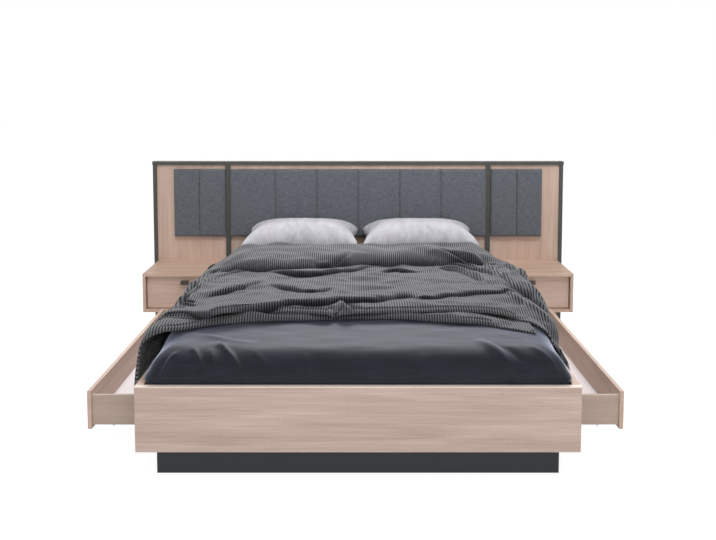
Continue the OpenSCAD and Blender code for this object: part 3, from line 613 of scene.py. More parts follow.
# %% Shape of a pad
def pad_depth(seams, low_z, high_z, seed):
    """How far the cloth stands from the board, on a grid of rows upwards and columns across.

    The section of each field, less a groove at each seam, turns to the skirt at the four edges. The
    puckers are three sine waves upwards whose phases differ from field to field."""
    x, t, field = pad_columns(seams)
    z, v = field_steps(low_z, high_z, PAD_ROWS)
    at_end = np.minimum(x - seams[0], seams[-1] - x)
    to_seam = np.minimum(t, 1 - t)
    section = PAD_FACE - SEAM_DEPTH * (1 - pad_section(t))
    section = section - GROOVE_DEPTH * np.exp(-(to_seam * FIELD_WIDTH / GROOVE_WIDTH) ** 2)
    turn = edge_turn(at_end)
    across = SKIRT + (section - SKIRT) * turn
    across = np.where(at_end < END_REACH, np.maximum(across, SKIRT), across)
    turn_up = edge_turn(np.minimum(z - low_z, high_z - z))
    crown = 1 - UPRIGHT_CROWN + UPRIGHT_CROWN * pad_section(v)
    depth = SKIRT + (across[None, :] * crown[:, None] - SKIRT) * turn_up[:, None]

    phase = np.random.default_rng(seed).uniform(0, 2 * np.pi, (len(seams) - 1, len(PUCKER_LENGTHS)))
    near_seam = np.exp(-to_seam * (x.max() - x.min()) / len(seams) / PUCKER_REACH)
    puckers = sum(np.sin(2 * np.pi * z[:, None] / length + phase[field, j][None, :])
                  for j, length in enumerate(PUCKER_LENGTHS))
    depth += PUCKER * puckers / len(PUCKER_LENGTHS) * near_seam[None, :] * turn_up[:, None] * turn[None, :]
    return x, z, depth


def sewn_pad(name, seams, low_z, high_z, back_y, seed):
    """A closed pad: a front grid with fields between seams, a flat back, and a strip round the rim."""
    x, z, depth = pad_depth(seams, low_z, high_z, seed)
    rows, count = depth.shape
    front = np.stack([np.broadcast_to(x, depth.shape), back_y - depth,
                      np.broadcast_to(z[:, None], depth.shape)], 2)
    back = front.copy()
    back[:, :, 1] = back_y
    index = np.arange(rows * count).reshape(rows, count)
    rim = np.concatenate([index[0], index[1:, -1], index[-1, -2::-1], index[-2:0:-1, 0]])
    following = np.roll(rim, -1)
    strip = np.stack([rim, rim + rows * count, following + rows * count, following], 1)
    faces = np.concatenate([quads(index), quads(index + rows * count)[:, ::-1], strip])
    points = np.concatenate([front.reshape(-1, 3), back.reshape(-1, 3)])
    piece = finish_mesh(name, points, faces, points[:, [0, 2]])
    piece.data.materials.append(pad_cloth)
    return piece


# %% The three pads
for name, seed in (("centre_pad", 1), ("left_pad", 2), ("right_pad", 3)):
    low, high = box_of(name)
    if name == "centre_pad":
        inner_seams = [k * SEAM_PITCH for k in range(-2, 3)]
    else:
        inner_seams = [(low[0] + high[0]) / 2]
    pad = sewn_pad(name + "_cloth", [low[0], *inner_seams, high[0]], low[2], high[2], high[1], seed)
    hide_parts(name)

# %% [markdown]
# ## Rings for the mattress and the cover
#
# A mattress and its fitted cover are the same kind of surface: a stack of rounded rectangles, one above
# the other. Each ring has the same number of points, so neighbouring rings join into quads. The side
# profile is then just a list of insets and heights.
#
# At the foot both turn over with a larger radius than along their sides. So each stack is worked out
# twice, with the two radii, and the rounder one is used near the foot and fades out behind it.

# %% Rings
FOOT_REACH = 0.15
FOOT_FADE = 0.25
LEAST_CORNER = 0.02


def ring(cy, a, b, corner, steps):
    """A rounded rectangle around (0, cy) with half sizes a and b: four quarter arcs and the sides between."""
    corner_steps, long_steps, head_steps, foot_steps = steps
    points = []
    centres = [(a - corner, cy - b + corner), (a - corner, cy + b - corner),
               (-a + corner, cy + b - corner), (-a + corner, cy - b + corner)]
    for k, side_steps in enumerate((long_steps, head_steps, long_steps, foot_steps)):
        angle = math.radians(-90 + 90 * k) + np.linspace(0, math.pi / 2, corner_steps)
        arc = np.stack([centres[k][0] + corner * np.cos(angle), centres[k][1] + corner * np.sin(angle)], 1)
        following = centres[(k + 1) % 4]
        turn = math.radians(90 * k)
        end = np.array([following[0] + corner * math.cos(turn), following[1] + corner * math.sin(turn)])
        t = np.linspace(0, 1, side_steps + 2)[1:-1, None]
        points += [arc, arc[-1] + (end - arc[-1]) * t]
    return np.concatenate(points)


def stack_rings(cy, a, b, corner, profile, steps):
    """One ring for each (inset, height) of the profile, as a grid that closes round the stack."""
    rings = []
    for inset, z in profile:
        radius = min(max(corner - 0.5 * inset, LEAST_CORNER), max(0.001, (a - inset) * 0.9))
        flat = ring(cy, max(a - inset, 0.002), max(b - inset, 0.003), radius, steps)
        rings.append(np.column_stack([flat, np.full(len(flat), z)]))
    grid = np.stack(rings)
    return np.concatenate([grid, grid[:, :1]], axis=1)


def rounder_at_foot(centre, half, corner, profile, edges, steps):
    """A stack with the first edge radius all round, and with the second one at its foot end."""
    usual, rounder = (stack_rings(centre[1], half[0], half[1], corner, profile(edge), steps)
                      for edge in edges)
    behind_foot = usual[:, :, 1] - (centre[1] - half[1])
    return mix(rounder, usual, smooth((behind_foot - FOOT_REACH) / FOOT_FADE)[:, :, None])


def arc_profile(radius, z, start, end, count):
    """Insets and heights along an arc: the inset is r(1 - cos), the height z + r sin."""
    angles = np.radians(np.linspace(start, end, count))
    return list(zip(radius * (1 - np.cos(angles)), z + radius * np.sin(angles)))


# %% [markdown]
# ## Mattress
#
# The mattress is hardly seen, but it is there when the cover is taken off: a knitted ticking, stitched
# in waves to a thin layer of wadding. The stitching is part of the shape: the top sinks along wavy
# lines, by `QUILT_DEPTH * (1 - |sin|^0.6)`, so it is soft between the lines and sharp on them.

# %% Mattress
MATTRESS_CORNER = 0.090
MATTRESS_EDGES = (0.060, 0.100)
MATTRESS_STEPS = (10, 90, 72, 72)
BASE_EDGE = 0.020
SIDE_HOLLOW = 0.003
QUILT_DEPTH, QUILT_PITCH = 0.0022, 0.16

half = (mattress_high - mattress_low) / 2
centre = (mattress_high + mattress_low) / 2
base, top = mattress_low[2], mattress_high[2]


def ticking(name):
    """White knit with a fine stitch."""
    finish = Finish(name)
    fine = finish.noise((700, 250, 700), 2)
    finish.colour(finish.blend(finish.spread(fine, 0.3, 0.7), srgb(226, 222, 214), srgb(242, 239, 232)))
    finish.relief(fine, 0.0003, 0.6)
    finish.set({"Roughness": 0.9, "Sheen Weight": 0.1})
    return finish.material


def mattress_profile(edge):
    """Inset and height of every ring, from the middle of the underside to the middle of the top."""
    side = top - base - BASE_EDGE - edge
    innermost = half[0] - 0.01
    profile = [(inset, base) for inset in np.linspace(innermost, 0.03, 24)]
    profile += arc_profile(BASE_EDGE, base + BASE_EDGE, -90, 0, 7)
    profile += [(SIDE_HOLLOW * math.sin(math.pi * t), base + BASE_EDGE + t * side)
                for t in np.linspace(0.1, 0.9, 7)]
    profile += arc_profile(edge, top - edge, 0, 90, 12)
    return profile + [(inset, top) for inset in np.linspace(edge + 0.015, innermost, 60)]


mattress_points = rounder_at_foot(centre, half, MATTRESS_CORNER, mattress_profile, MATTRESS_EDGES,
                                  MATTRESS_STEPS)
stitch_line = mattress_points[:, :, 0] / QUILT_PITCH + 0.12 * np.sin(mattress_points[:, :, 1] * 40)
quilting = QUILT_DEPTH * (np.abs(np.sin(math.pi * stitch_line)) ** 0.6 - 1)
mattress_points[:, :, 2] += quilting * smooth((mattress_points[:, :, 2] - top + 0.02) / 0.02)
mattress_cover = grid_piece("mattress_ticking_cover", mattress_points)
mattress_cover.data.materials.append(ticking("ticking"))
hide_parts("mattress")

# %% [markdown]
# ## Fitted cover
#
# The navy cotton is pulled over the mattress and tucked into the frame. Its top is not flat: the
# mattress fills it, so it rises from the edge inwards by 20 mm, as `t(2 - t)`, which starts steep and
# ends level. It turns over the sides with a radius of 80 mm and over the foot with 114 mm, because the
# photograph shows a gradual turn there. The mattress's foot is rounded alike, and so stays under it.

# %% Sizes of the cover
COVER_ROUND = 0.080
COVER_FOOT_ROUND = 0.114
COVER_CORNER = 0.058
COVER_CROWN = 0.020
CROWN_RAMP = 0.420
COVER_FLAT = cover_high[2] - COVER_CROWN
COVER_STEPS = (22, 90, 60, 330)
cover_centre = (cover_high + cover_low) / 2
cover_half = (cover_high - cover_low) / 2


def crown_at(inset):
    """How much the cover rises at a distance inside its edge."""
    t = np.clip((inset - COVER_ROUND) / CROWN_RAMP, 0, 1)
    return COVER_CROWN * t * (2 - t)


def cover_top_at(x, y):
    """Height of the cover's top under a point."""
    inset = np.minimum(cover_high[0] - np.abs(x), np.minimum(y - cover_low[1], cover_high[1] - y))
    return COVER_FLAT + crown_at(inset)


def cover_profile(edge):
    """Inset and height of every ring: tucked part, side, rounded edge, and the top with its crown.

    The arc ends at 85 degrees, where it has the slope with which the crown goes on."""
    profile = [(0.0, z) for z in np.linspace(cover_low[2], RAIL_TOP - 0.002, 9)]
    profile += [(0.0, z) for z in np.linspace(RAIL_TOP + 0.001, COVER_FLAT - edge, 7)]
    profile += arc_profile(edge, COVER_FLAT - edge, 0, 85, 18)[1:]
    near_edge = np.linspace(edge + 0.008, 0.50, 46)
    insets = np.concatenate([near_edge, np.linspace(0.53, cover_high[0] - 0.003, 12)])
    return profile + [(inset, COVER_FLAT + float(crown_at(inset - edge + COVER_ROUND))) for inset in insets]


# %% [markdown]
# The plain cover comes first, without creases. The room between it and the mattress is measured along
# the middle of the bed, because a mattress that stood out of its cover would show through it.

# %% Plain cover, and the room that it leaves above the mattress
points = rounder_at_foot(cover_centre, cover_half, COVER_CORNER, cover_profile,
                         (COVER_ROUND, COVER_FOOT_ROUND), COVER_STEPS)


def middle_line(points, reach, least_z):
    """The points of a surface near the bed's middle line, from its foot back to a reach, in order."""
    line = points.reshape(-1, 3)
    line = line[(np.abs(line[:, 0]) < 0.05) & (line[:, 1] < cover_low[1] + reach) & (line[:, 2] > least_z)]
    return line[np.argsort(line[:, 1])]


inner = middle_line(mattress_points, 0.4, COVER_FLAT - 0.06)
outer = middle_line(points, 0.5, RAIL_TOP)
room = np.interp(inner[:, 1], outer[:, 1], outer[:, 2]) - inner[:, 2]
print(f"At the foot the cover lies {room.min() * 1000:.1f} to {room.max() * 1000:.1f} mm above the mattress")

# %% [markdown]
# The cover is tight, so it shows a few pulled creases near the corners, where the cloth is drawn down
# into the frame. A crease is a thin raised line, so each one is a short line on the cloth, and every
# point near it moves outwards by `height * exp(-(distance / width)^2)`. Just above the rails the cloth
# swells out a little, because it is pinched between rail and mattress. On the part of the top in
# front of the blanket, faint ripples keep the light from lying too evenly.

# %% Creases of the cover
def line_distance(points, line):
    """Distance from each point to a chain of straight pieces, and how far along the chain it is."""
    best = np.full(points.shape[:-1], np.inf)
    share = np.zeros(points.shape[:-1])
    line = np.array(line, float)
    for k in range(len(line) - 1):
        step = line[k + 1] - line[k]
        along = np.clip(((points - line[k]) @ step) / (step @ step), 0, 1)
        gap = np.linalg.norm(points - line[k] - along[..., None] * step, axis=-1)
        closer = gap < best
        best = np.where(closer, gap, best)
        share = np.where(closer, (k + along) / (len(line) - 1), share)
    return best, share


def pulled_crease(points, line, height, width):
    """A thin raised line that fades at both ends. Its points are (x, climb): the climb is the height on
    the foot side, and further on the height plus the way back over the top."""
    climb = points[:, :, 2] + points[:, :, 1] - cover_low[1]
    gap, share = line_distance(np.stack([points[:, :, 0], climb], 2), line)
    fade = np.sin(np.pi * np.clip(share, 0, 1)) ** 0.6
    return height * fade * np.exp(-(gap / width) ** 2)


# Each crease: its line of (x, climb), its height and its width.
CREASES = [
    ([(-0.69, 0.53), (-0.705, 0.49), (-0.72, 0.44), (-0.735, 0.39), (-0.74, 0.35)], 0.010, 0.010),
    ([(-0.64, 0.56), (-0.616, 0.52), (-0.596, 0.46), (-0.576, 0.39), (-0.57, 0.34)], 0.012, 0.009),
    ([(-0.56, 0.61), (-0.523, 0.57), (-0.475, 0.49), (-0.43, 0.40), (-0.40, 0.33)], 0.013, 0.010),
    ([(-0.57, 0.55), (-0.55, 0.49), (-0.53, 0.42), (-0.52, 0.36)], 0.006, 0.012),
    ([(-0.70, 0.716), (-0.60, 0.68), (-0.475, 0.62), (-0.38, 0.60)], 0.0045, 0.012),
    ([(-0.40, 0.54), (-0.36, 0.47), (-0.32, 0.40), (-0.30, 0.34)], 0.005, 0.014),
    ([(-0.20, 0.52), (-0.19, 0.45), (-0.17, 0.36)], 0.003, 0.016),
    ([(0.46, 0.64), (0.497, 0.59), (0.535, 0.52), (0.572, 0.43), (0.59, 0.35)], 0.013, 0.022),
    ([(0.52, 0.60), (0.58, 0.54), (0.63, 0.46), (0.65, 0.36)], -0.007, 0.018),
    ([(0.66, 0.58), (0.70, 0.52), (0.735, 0.44), (0.745, 0.36)], 0.008, 0.015),
    ([(0.02, 0.50), (0.035, 0.42), (0.03, 0.34)], 0.003, 0.014),
    ([(0.26, 0.52), (0.235, 0.43), (0.23, 0.34)], 0.003, 0.018),
]

# Each ripple: its turn from the length of the bed, its wave length and its phase.
RIPPLES = [(0.05, 0.11, 0.3), (-0.16, 0.074, 1.7), (0.22, 0.052, 2.9), (-0.33, 0.093, 4.4), (0.6, 0.15, 0.9)]
RIPPLE_SHARE = 0.004
BLANKET_FOOT = -0.55


def ripples(points):
    """A sum of sine waves that bend slowly. Each is RIPPLE_SHARE of its own length high."""
    x, y = points[:, :, 0], points[:, :, 1]
    total = np.zeros(x.shape)
    for turn, length, phase in RIPPLES:
        along = x * math.sin(turn) + y * math.cos(turn)
        bend = 1.4 * np.sin(x * 3.1 + phase)
        total += RIPPLE_SHARE * length * np.sin(2 * np.pi * along / length + phase + bend)
    on_top = smooth((points[:, :, 2] - COVER_FLAT + 0.03) / 0.03)
    return total * on_top * smooth((BLANKET_FOOT - y) / 0.1)


# %% Cover with its creases
SWELL, SWELL_RISE, SWELL_FALL = 0.013, 0.006, 0.045
SWELL_SIDE, SWELL_SIDE_RAMP = 0.70, 0.09
above_rail = points[:, :, 2] - RAIL_TOP
swell = SWELL * smooth(above_rail / SWELL_RISE) * (1 - smooth((above_rail - SWELL_RISE) / SWELL_FALL))
at_side = smooth((np.abs(points[:, :, 0]) - SWELL_SIDE) / SWELL_SIDE_RAMP)
points[:, :, 0] += swell * at_side * np.sign(points[:, :, 0])
outward = normals_of(points)
outward = np.where(outward[:, :, 2:3] < -0.2, -outward, outward)

lift = np.zeros(points.shape[:2])
for line, height, width in CREASES:
    lift += pulled_crease(points, line, height, width)
lift += ripples(points)
above_frame = smooth((points[:, :, 2] - RAIL_TOP) / 0.05)
points = points + outward * (lift * above_frame)[:, :, None]
print(f"The creases move the cover by {lift.min() * 1000:.1f} to {lift.max() * 1000:.1f} mm")

# %% [markdown]
# ## Cotton of the cover
#
# The cover is a dense navy percale, almost black in the shade. Seen from low down it turns paler, because
# light catches the fine fuzz of the yarn. The sheen of the surface shader does just that, so it is set
# to full here, with a faint blue tint. Soft streaks across the bed show how the cloth is pulled.

# %% Cotton of the cover
def cotton(name):
    """Navy percale: fine weave, soft streaks across, a little sheen from the side."""
    finish = Finish(name)
    streaks = finish.noise((5.0, 42, 42), 5, 0.6, 0.6)
    fine = finish.noise((60, 900, 900))
    clouds = finish.noise((5, 5, 5), 2)
    tone = finish.weighted((streaks, 0.6), (clouds, 0.4))
    colour = finish.blend(finish.spread(tone, 0.36, 0.64), srgb(17, 20, 28), srgb(33, 37, 48))
    colour = finish.blend(finish.spread(fine, 0.3, 0.7, 0.0, 0.22), colour, srgb(15, 18, 25))
    finish.colour(colour)
    finish.relief(finish.weighted((streaks, 1.0), (fine, 0.25)), 0.0014, 0.5)
    finish.set({"Roughness": 0.60, "Sheen Weight": 1.0, "Sheen Roughness": 0.33,
                "Sheen Tint": (0.72, 0.78, 1.0, 1), "Specular IOR Level": 0.2})
    return finish.material


navy_cover = grid_piece("navy_cover", points)
navy_cover.data.materials.append(cotton("navy_cotton"))
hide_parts("bed_cover")

# %% [markdown]
# ## Rib-knit blanket
#
# The blanket is one big sheet, thrown over the bed and pushed towards the foot. In cross-section it is
# flat over the bed, turns over the shoulder in a quarter ellipse and hangs down to its hem. A cloth
# simulation would give some folds, but not the ones in the photograph. So each fold is drawn as a line,
# and the height of the cloth is a formula of the distance to that line.
#
# Each fold has the same cause: the cloth was pushed and rolled over a little. Seen along the push it
# rises steeply and falls away slowly. A point at a distance t behind the line is lifted by
# `height * wall(t / rise) * exp(-t / fall)`, where `wall(t) = (1 - (1 - t)^2)^0.62`. Right at the line a
# narrow groove is taken away, at the bottom of the steep side. That crease also gets painted shade: a
# value from 0 to 1 that darkens the yarn's colour there.

# %% Distance to a drawn line
GROOVE_SHARE = 0.28
CREASE_AT, CREASE_WIDTH = 0.005, 0.013
# A fold and a valley of these heights, in millimetres, get the full painted shade in their crease.
FOLD_AT_FULL_SHADE, VALLEY_AT_FULL_SHADE = 26, 16


def rounded_line(line, rounds=2):
    """Cuts the corners of a line: each piece keeps its points at one quarter and three quarters."""
    line = np.array(line, float)
    for _ in range(rounds):
        quarter = 0.75 * line[:-1] + 0.25 * line[1:]
        three = 0.25 * line[:-1] + 0.75 * line[1:]
        middle = np.stack([quarter, three], 1).reshape(-1, line.shape[1])
        line = np.concatenate([line[:1], middle, line[-1:]])
    return line


def signed_distance(x, y, line):
    """Distance behind a line (positive on its left side) and the value that the line carries there."""
    best = np.full(x.shape, np.inf)
    signed = np.zeros(x.shape)
    carried = np.zeros(x.shape)
    for k in range(len(line) - 1):
        dx, dy = line[k + 1, 0] - line[k, 0], line[k + 1, 1] - line[k, 1]
        share = np.clip(((x - line[k, 0]) * dx + (y - line[k, 1]) * dy) / (dx * dx + dy * dy), 0, 1)
        gx, gy = x - line[k, 0] - share * dx, y - line[k, 1] - share * dy
        gap = np.hypot(gx, gy)
        closer = gap < best
        best = np.where(closer, gap, best)
        signed = np.where(closer, np.where(dx * gy - dy * gx > 0, gap, -gap), signed)
        carried = np.where(closer, line[k, 2] + share * (line[k + 1, 2] - line[k, 2]), carried)
    return signed, carried


# %% Formulas for a fold and a ridge
def wall(t):
    """The side of a rolled fold: steep at the bottom, rounded at the top. (1 - (1 - t)^2)^0.62."""
    return (1 - (1 - np.clip(t, 0, 1)) ** 2) ** 0.62


def fold(s, y, line, rise, fall):
    """Lift of one rolled fold, and the painted shade of its crease at each point, from 0 to 1.

    The line carries the fold's height in millimetres."""
    t, height = signed_distance(s, y, rounded_line(line))
    behind = np.maximum(t, 0)
    lift = wall(behind / rise) * np.exp(-behind / fall)
    foot_of_wall = np.exp(-((t + CREASE_AT) / CREASE_WIDTH) ** 2)
    # depth is painted shade in the crease, fuller for higher folds.
    depth = foot_of_wall * np.clip(height / FOLD_AT_FULL_SHADE, 0, 1)
    return height / 1000 * (lift - GROOVE_SHARE * foot_of_wall), depth


def ridge(s, y, line, width):
    """Lift of a plain ridge, or of a valley where the height is below zero: h exp(-(t / width)^2)."""
    t, height = signed_distance(s, y, rounded_line(line))
    # depth is painted shade along a valley's bottom, fuller for deeper valleys; a ridge gets none.
    depth = np.exp(-(t / width * 1.2) ** 2) * np.clip(-height / VALLEY_AT_FULL_SHADE, 0, 1)
    return height / 1000 * np.exp(-(t / width) ** 2), depth


print("a fold's wall at a quarter, half and full rise:", np.round(wall(np.array([0.25, 0.5, 1])), 2))

# %% [markdown]
# ## Where the folds lie
#
# The lines follow the folds that the photograph shows. Each point is (s, y, height): s is the way
# across the cloth from the middle of the bed, y the way along the bed, and the height is in millimetres.
# The plateau is the edge behind which the cloth lies in a thick heap near the pillows.

# %% Rolled folds
PLATEAU = [(-1.1, 0.19, 0), (-0.824, 0.187, 4), (-0.787, 0.26, 16), (-0.681, 0.261, 28),
           (-0.586, 0.190, 36), (-0.485, 0.185, 46), (-0.351, 0.176, 60), (-0.243, 0.205, 60),
           (-0.209, 0.23, 56), (-0.149, 0.243, 52), (-0.068, 0.239, 46), (0.04, 0.292, 42),
           (0.168, 0.255, 44), (0.215, 0.275, 46), (0.269, 0.305, 46), (0.355, 0.320, 44),
           (0.437, 0.308, 44), (0.555, 0.312, 44), (0.62, 0.30, 40), (0.68, 0.285, 32),
           (0.75, 0.214, 22), (0.8, 0.157, 12), (0.816, -0.022, 4), (1.1, -0.1, 0)]
FOLDS = [
    ([(-0.499, 0.18, 0), (-0.404, 0.102, 26), (-0.33, 0.057, 36), (-0.27, 0.043, 38),
      (-0.216, 0.072, 34), (-0.155, 0.084, 30), (-0.101, 0.125, 26), (-0.021, 0.185, 22),
      (0.047, 0.233, 12), (0.087, 0.265, 0)], 0.030, 0.080),
    ([(0.101, 0.089, 0), (0.148, 0.138, 22), (0.195, 0.165, 26), (0.235, 0.125, 24), (0.303, 0.148, 10),
      (0.343, 0.181, 0)], 0.022, 0.060),
    ([(-0.702, -0.333, 0), (-0.672, -0.295, 22), (-0.593, -0.229, 28), (-0.505, -0.104, 18),
      (-0.458, -0.035, 0)], 0.045, 0.120),
    ([(-0.451, -0.11, 0), (-0.398, -0.176, 18), (-0.303, -0.254, 26), (-0.216, -0.321, 30),
      (-0.149, -0.278, 20), (-0.101, -0.226, 0)], 0.045, 0.110),
    ([(-0.93, -0.8, 0), (-0.86, -0.705, 14), (-0.8, -0.655, 22), (-0.745, -0.622, 26),
      (-0.643, -0.648, 28), (-0.559, -0.632, 28), (-0.519, -0.609, 26), (-0.465, -0.574, 26),
      (-0.404, -0.568, 27), (-0.337, -0.545, 30), (-0.297, -0.507, 30), (-0.25, -0.488, 26),
      (-0.196, -0.48, 28), (-0.135, -0.488, 30), (-0.081, -0.447, 26), (-0.027, -0.457, 24),
      (0.033, -0.447, 26), (0.074, -0.458, 26), (0.175, -0.357, 24), (0.229, -0.346, 22),
      (0.289, -0.419, 24), (0.394, -0.36, 22), (0.513, -0.286, 18), (0.62, -0.316, 18),
      (0.70, -0.31, 14), (0.75, -0.33, 0)], 0.032, 0.170),
]

# %% [markdown]
# Smaller lines come on top: valleys and ridges where the cloth is gathered at both shoulders, kinks in
# the middle, broad swells that keep the large surfaces from being flat, and the folds of the left side
# where it hangs down near the foot.

# %% Ridges and valleys
LEFT_VALLEYS = [
    ([(-0.776, -0.057, 0), (-0.779, -0.091, -12), (-0.813, -0.203, -16), (-0.829, -0.329, -14),
      (-0.842, -0.358, 0)], 0.0075),
    ([(-0.763, -0.14, 0), (-0.771, -0.161, -12), (-0.787, -0.327, -18), (-0.803, -0.458, -14),
      (-0.8, -0.563, 0)], 0.0080),
    ([(-0.792, 0.075, 0), (-0.797, -0.094, -10), (-0.84, -0.162, -14), (-0.832, -0.301, 0)], 0.0075),
    ([(-0.579, 0.176, 0), (-0.626, 0.168, -14), (-0.694, 0.156, -20), (-0.758, 0.013, -20),
      (-0.781, -0.081, 0)], 0.0140),
    ([(-0.728, 0.278, 0), (-0.768, 0.255, -14), (-0.803, 0.133, -20), (-0.803, -0.059, -12),
      (-0.824, -0.105, 0)], 0.0100),
    ([(-0.731, -0.372, 0), (-0.758, -0.382, -20), (-0.792, -0.365, -18), (-0.803, -0.442, 0)], 0.0120),
    ([(-0.726, -0.421, 0), (-0.752, -0.427, -12), (-0.776, -0.479, -14), (-0.787, -0.566, 0)], 0.0080),
]
LEFT_RIDGES = [
    ([(-0.758, -0.098, 0), (-0.771, -0.131, 12), (-0.787, -0.303, 14), (-0.818, -0.377, 12),
      (-0.821, -0.457, 0)], 0.0085),
    ([(-0.781, -0.002, 0), (-0.789, -0.062, 12), (-0.826, -0.159, 14), (-0.832, -0.307, 0)], 0.0085),
    ([(-0.771, 0.154, 0), (-0.787, 0.075, 12), (-0.8, -0.054, 14), (-0.842, -0.091, 0)], 0.0090),
    ([(-0.613, 0.162, 0), (-0.691, 0.149, 12), (-0.744, -0.014, 14), (-0.768, -0.115, 0)], 0.0110),
    ([(-0.721, -0.411, 0), (-0.758, -0.403, 14), (-0.797, -0.406, 12), (-0.808, -0.476, 0)], 0.0090),
]
RIGHT_VALLEYS = [
    ([(0.607, 0.322, 0), (0.651, 0.263, -14), (0.692, 0.04, -16), (0.725, -0.184, -12),
      (0.739, -0.268, 0)], 0.0090),
    ([(0.437, 0.374, 0), (0.48, 0.361, -14), (0.552, 0.325, -16), (0.613, 0.305, -14),
      (0.664, 0.276, 0)], 0.0100),
    ([(0.365, 0.194, 0), (0.387, 0.232, -14), (0.427, 0.272, -16), (0.48, 0.287, 0)], 0.0100),
    ([(0.52, 0.276, 0), (0.575, 0.258, -10), (0.67, 0.057, -12), (0.708, -0.126, 0)], 0.0090),
    ([(0.411, 0.189, 0), (0.474, 0.206, -12), (0.536, 0.193, -16), (0.591, -0.008, -18),
      (0.636, -0.163, 0)], 0.0150),
    ([(0.763, 0.173, 0), (0.787, 0.081, -12), (0.797, -0.089, -14), (0.829, -0.146, -12),
      (0.826, -0.257, 0)], 0.0090),
    ([(0.70, -0.17, 0), (0.728, -0.25, -24), (0.775, -0.37, -30), (0.825, -0.48, -30),
      (0.87, -0.58, -26), (0.905, -0.70, 0)], 0.0220),
]
RIGHT_RIDGES = [
    ([(0.36, 0.364, 0), (0.427, 0.363, 18), (0.5, 0.332, 22), (0.623, 0.282, 22), (0.677, 0.092, 18),
      (0.725, -0.163, 0)], 0.0130),
    ([(0.381, 0.209, 0), (0.441, 0.296, 18), (0.497, 0.301, 20), (0.568, 0.278, 18), (0.655, 0.142, 14),
      (0.699, -0.078, 0)], 0.0120),
    ([(0.417, 0.213, 0), (0.477, 0.245, 14), (0.543, 0.251, 16), (0.597, 0.105, 16),
      (0.639, -0.128, 0)], 0.0130),
    ([(0.48, 0.364, 0), (0.536, 0.356, 16), (0.607, 0.339, 18), (0.686, 0.286, 16), (0.723, -0.025, 12),
      (0.75, -0.182, 0)], 0.0110),
    ([(0.755, 0.244, 0), (0.795, 0.124, 14), (0.813, -0.054, 14), (0.847, -0.123, 0)], 0.0100),
    ([(0.66, -0.20, 0), (0.69, -0.32, 14), (0.735, -0.44, 16), (0.78, -0.55, 16), (0.82, -0.64, 0)], 0.0140),
    ([(0.76, -0.16, 0), (0.81, -0.30, 14), (0.865, -0.42, 16), (0.905, -0.54, 0)], 0.0130),
]
KINKS = [
    ([(-0.088, -0.443, 0), (-0.074, -0.495, 28), (-0.054, -0.561, 28), (-0.027, -0.586, 0)], 0.0120),
    ([(-0.125, -0.50, 0), (-0.110, -0.545, -24), (-0.100, -0.60, -28), (-0.088, -0.595, -20),
      (-0.074, -0.541, 0)], 0.0110),
    ([(-0.068, -0.459, 0), (-0.045, -0.489, -24), (-0.005, -0.536, -26), (0.05, -0.556, 0)], 0.0110),
    ([(-0.149, 0.243, 0), (-0.108, 0.251, -18), (-0.068, 0.291, -14), (-0.027, 0.343, 0)], 0.0100),
    ([(-0.135, 0.238, 0), (-0.088, 0.245, 14), (-0.048, 0.285, 12), (-0.007, 0.332, 0)], 0.0110),
    ([(-0.223, 0.234, 0), (-0.202, 0.241, 14), (-0.155, 0.248, 14), (-0.135, 0.25, 0)], 0.0120),
]
SWELLS = [
    ([(0.0, -0.20, 0), (0.06, -0.23, -10), (0.14, -0.23, -10), (0.22, -0.18, 0)], 0.036),
    ([(0.30, -0.02, 0), (0.38, -0.05, 10), (0.46, -0.12, 8), (0.52, -0.2, 0)], 0.040),
    ([(-0.30, -0.09, 0), (-0.20, -0.10, 9), (-0.08, -0.03, 10), (0.05, 0.02, 0)], 0.045),
]
FOOT_CORNER = [
    ([(-0.82, -0.50, 0), (-0.865, -0.62, 16), (-0.90, -0.76, 18), (-0.95, -0.88, 0)], 0.014),
    ([(-0.79, -0.56, 0), (-0.83, -0.66, -20), (-0.87, -0.77, -22), (-0.91, -0.88, 0)], 0.014),
    ([(-0.86, -0.50, 0), (-0.90, -0.62, -18), (-0.94, -0.76, -16), (-0.99, -0.88, 0)], 0.012),
]
RIDGES = [*LEFT_VALLEYS, *LEFT_RIDGES, *RIGHT_VALLEYS, *RIGHT_RIDGES, *KINKS, *SWELLS, *FOOT_CORNER]
UNDER_RIDGES = [([(-0.62, -0.70, 0), (-0.50, -0.665, 7), (-0.34, -0.66, 7), (-0.2, -0.67, 0)], 0.02),
                ([(0.05, -0.64, 0), (0.2, -0.65, 7), (0.4, -0.65, 8), (0.6, -0.7, 0)], 0.025)]
print("rolled folds:", len(FOLDS), "ridges and valleys:", len(RIDGES) + len(UNDER_RIDGES))

# %% [markdown]
# Four tables give the cloth its large form, two for each side of the bed. The shoulders are the height
# of the cloth where it turns down, for each place y along the bed. The head section is the height across
# the heap near the pillows, for each distance from the middle. Two more tables say how far towards the
# foot the cloth reaches: the hem of the upper layer, and the hem of the part that is turned under and
# shows below it.

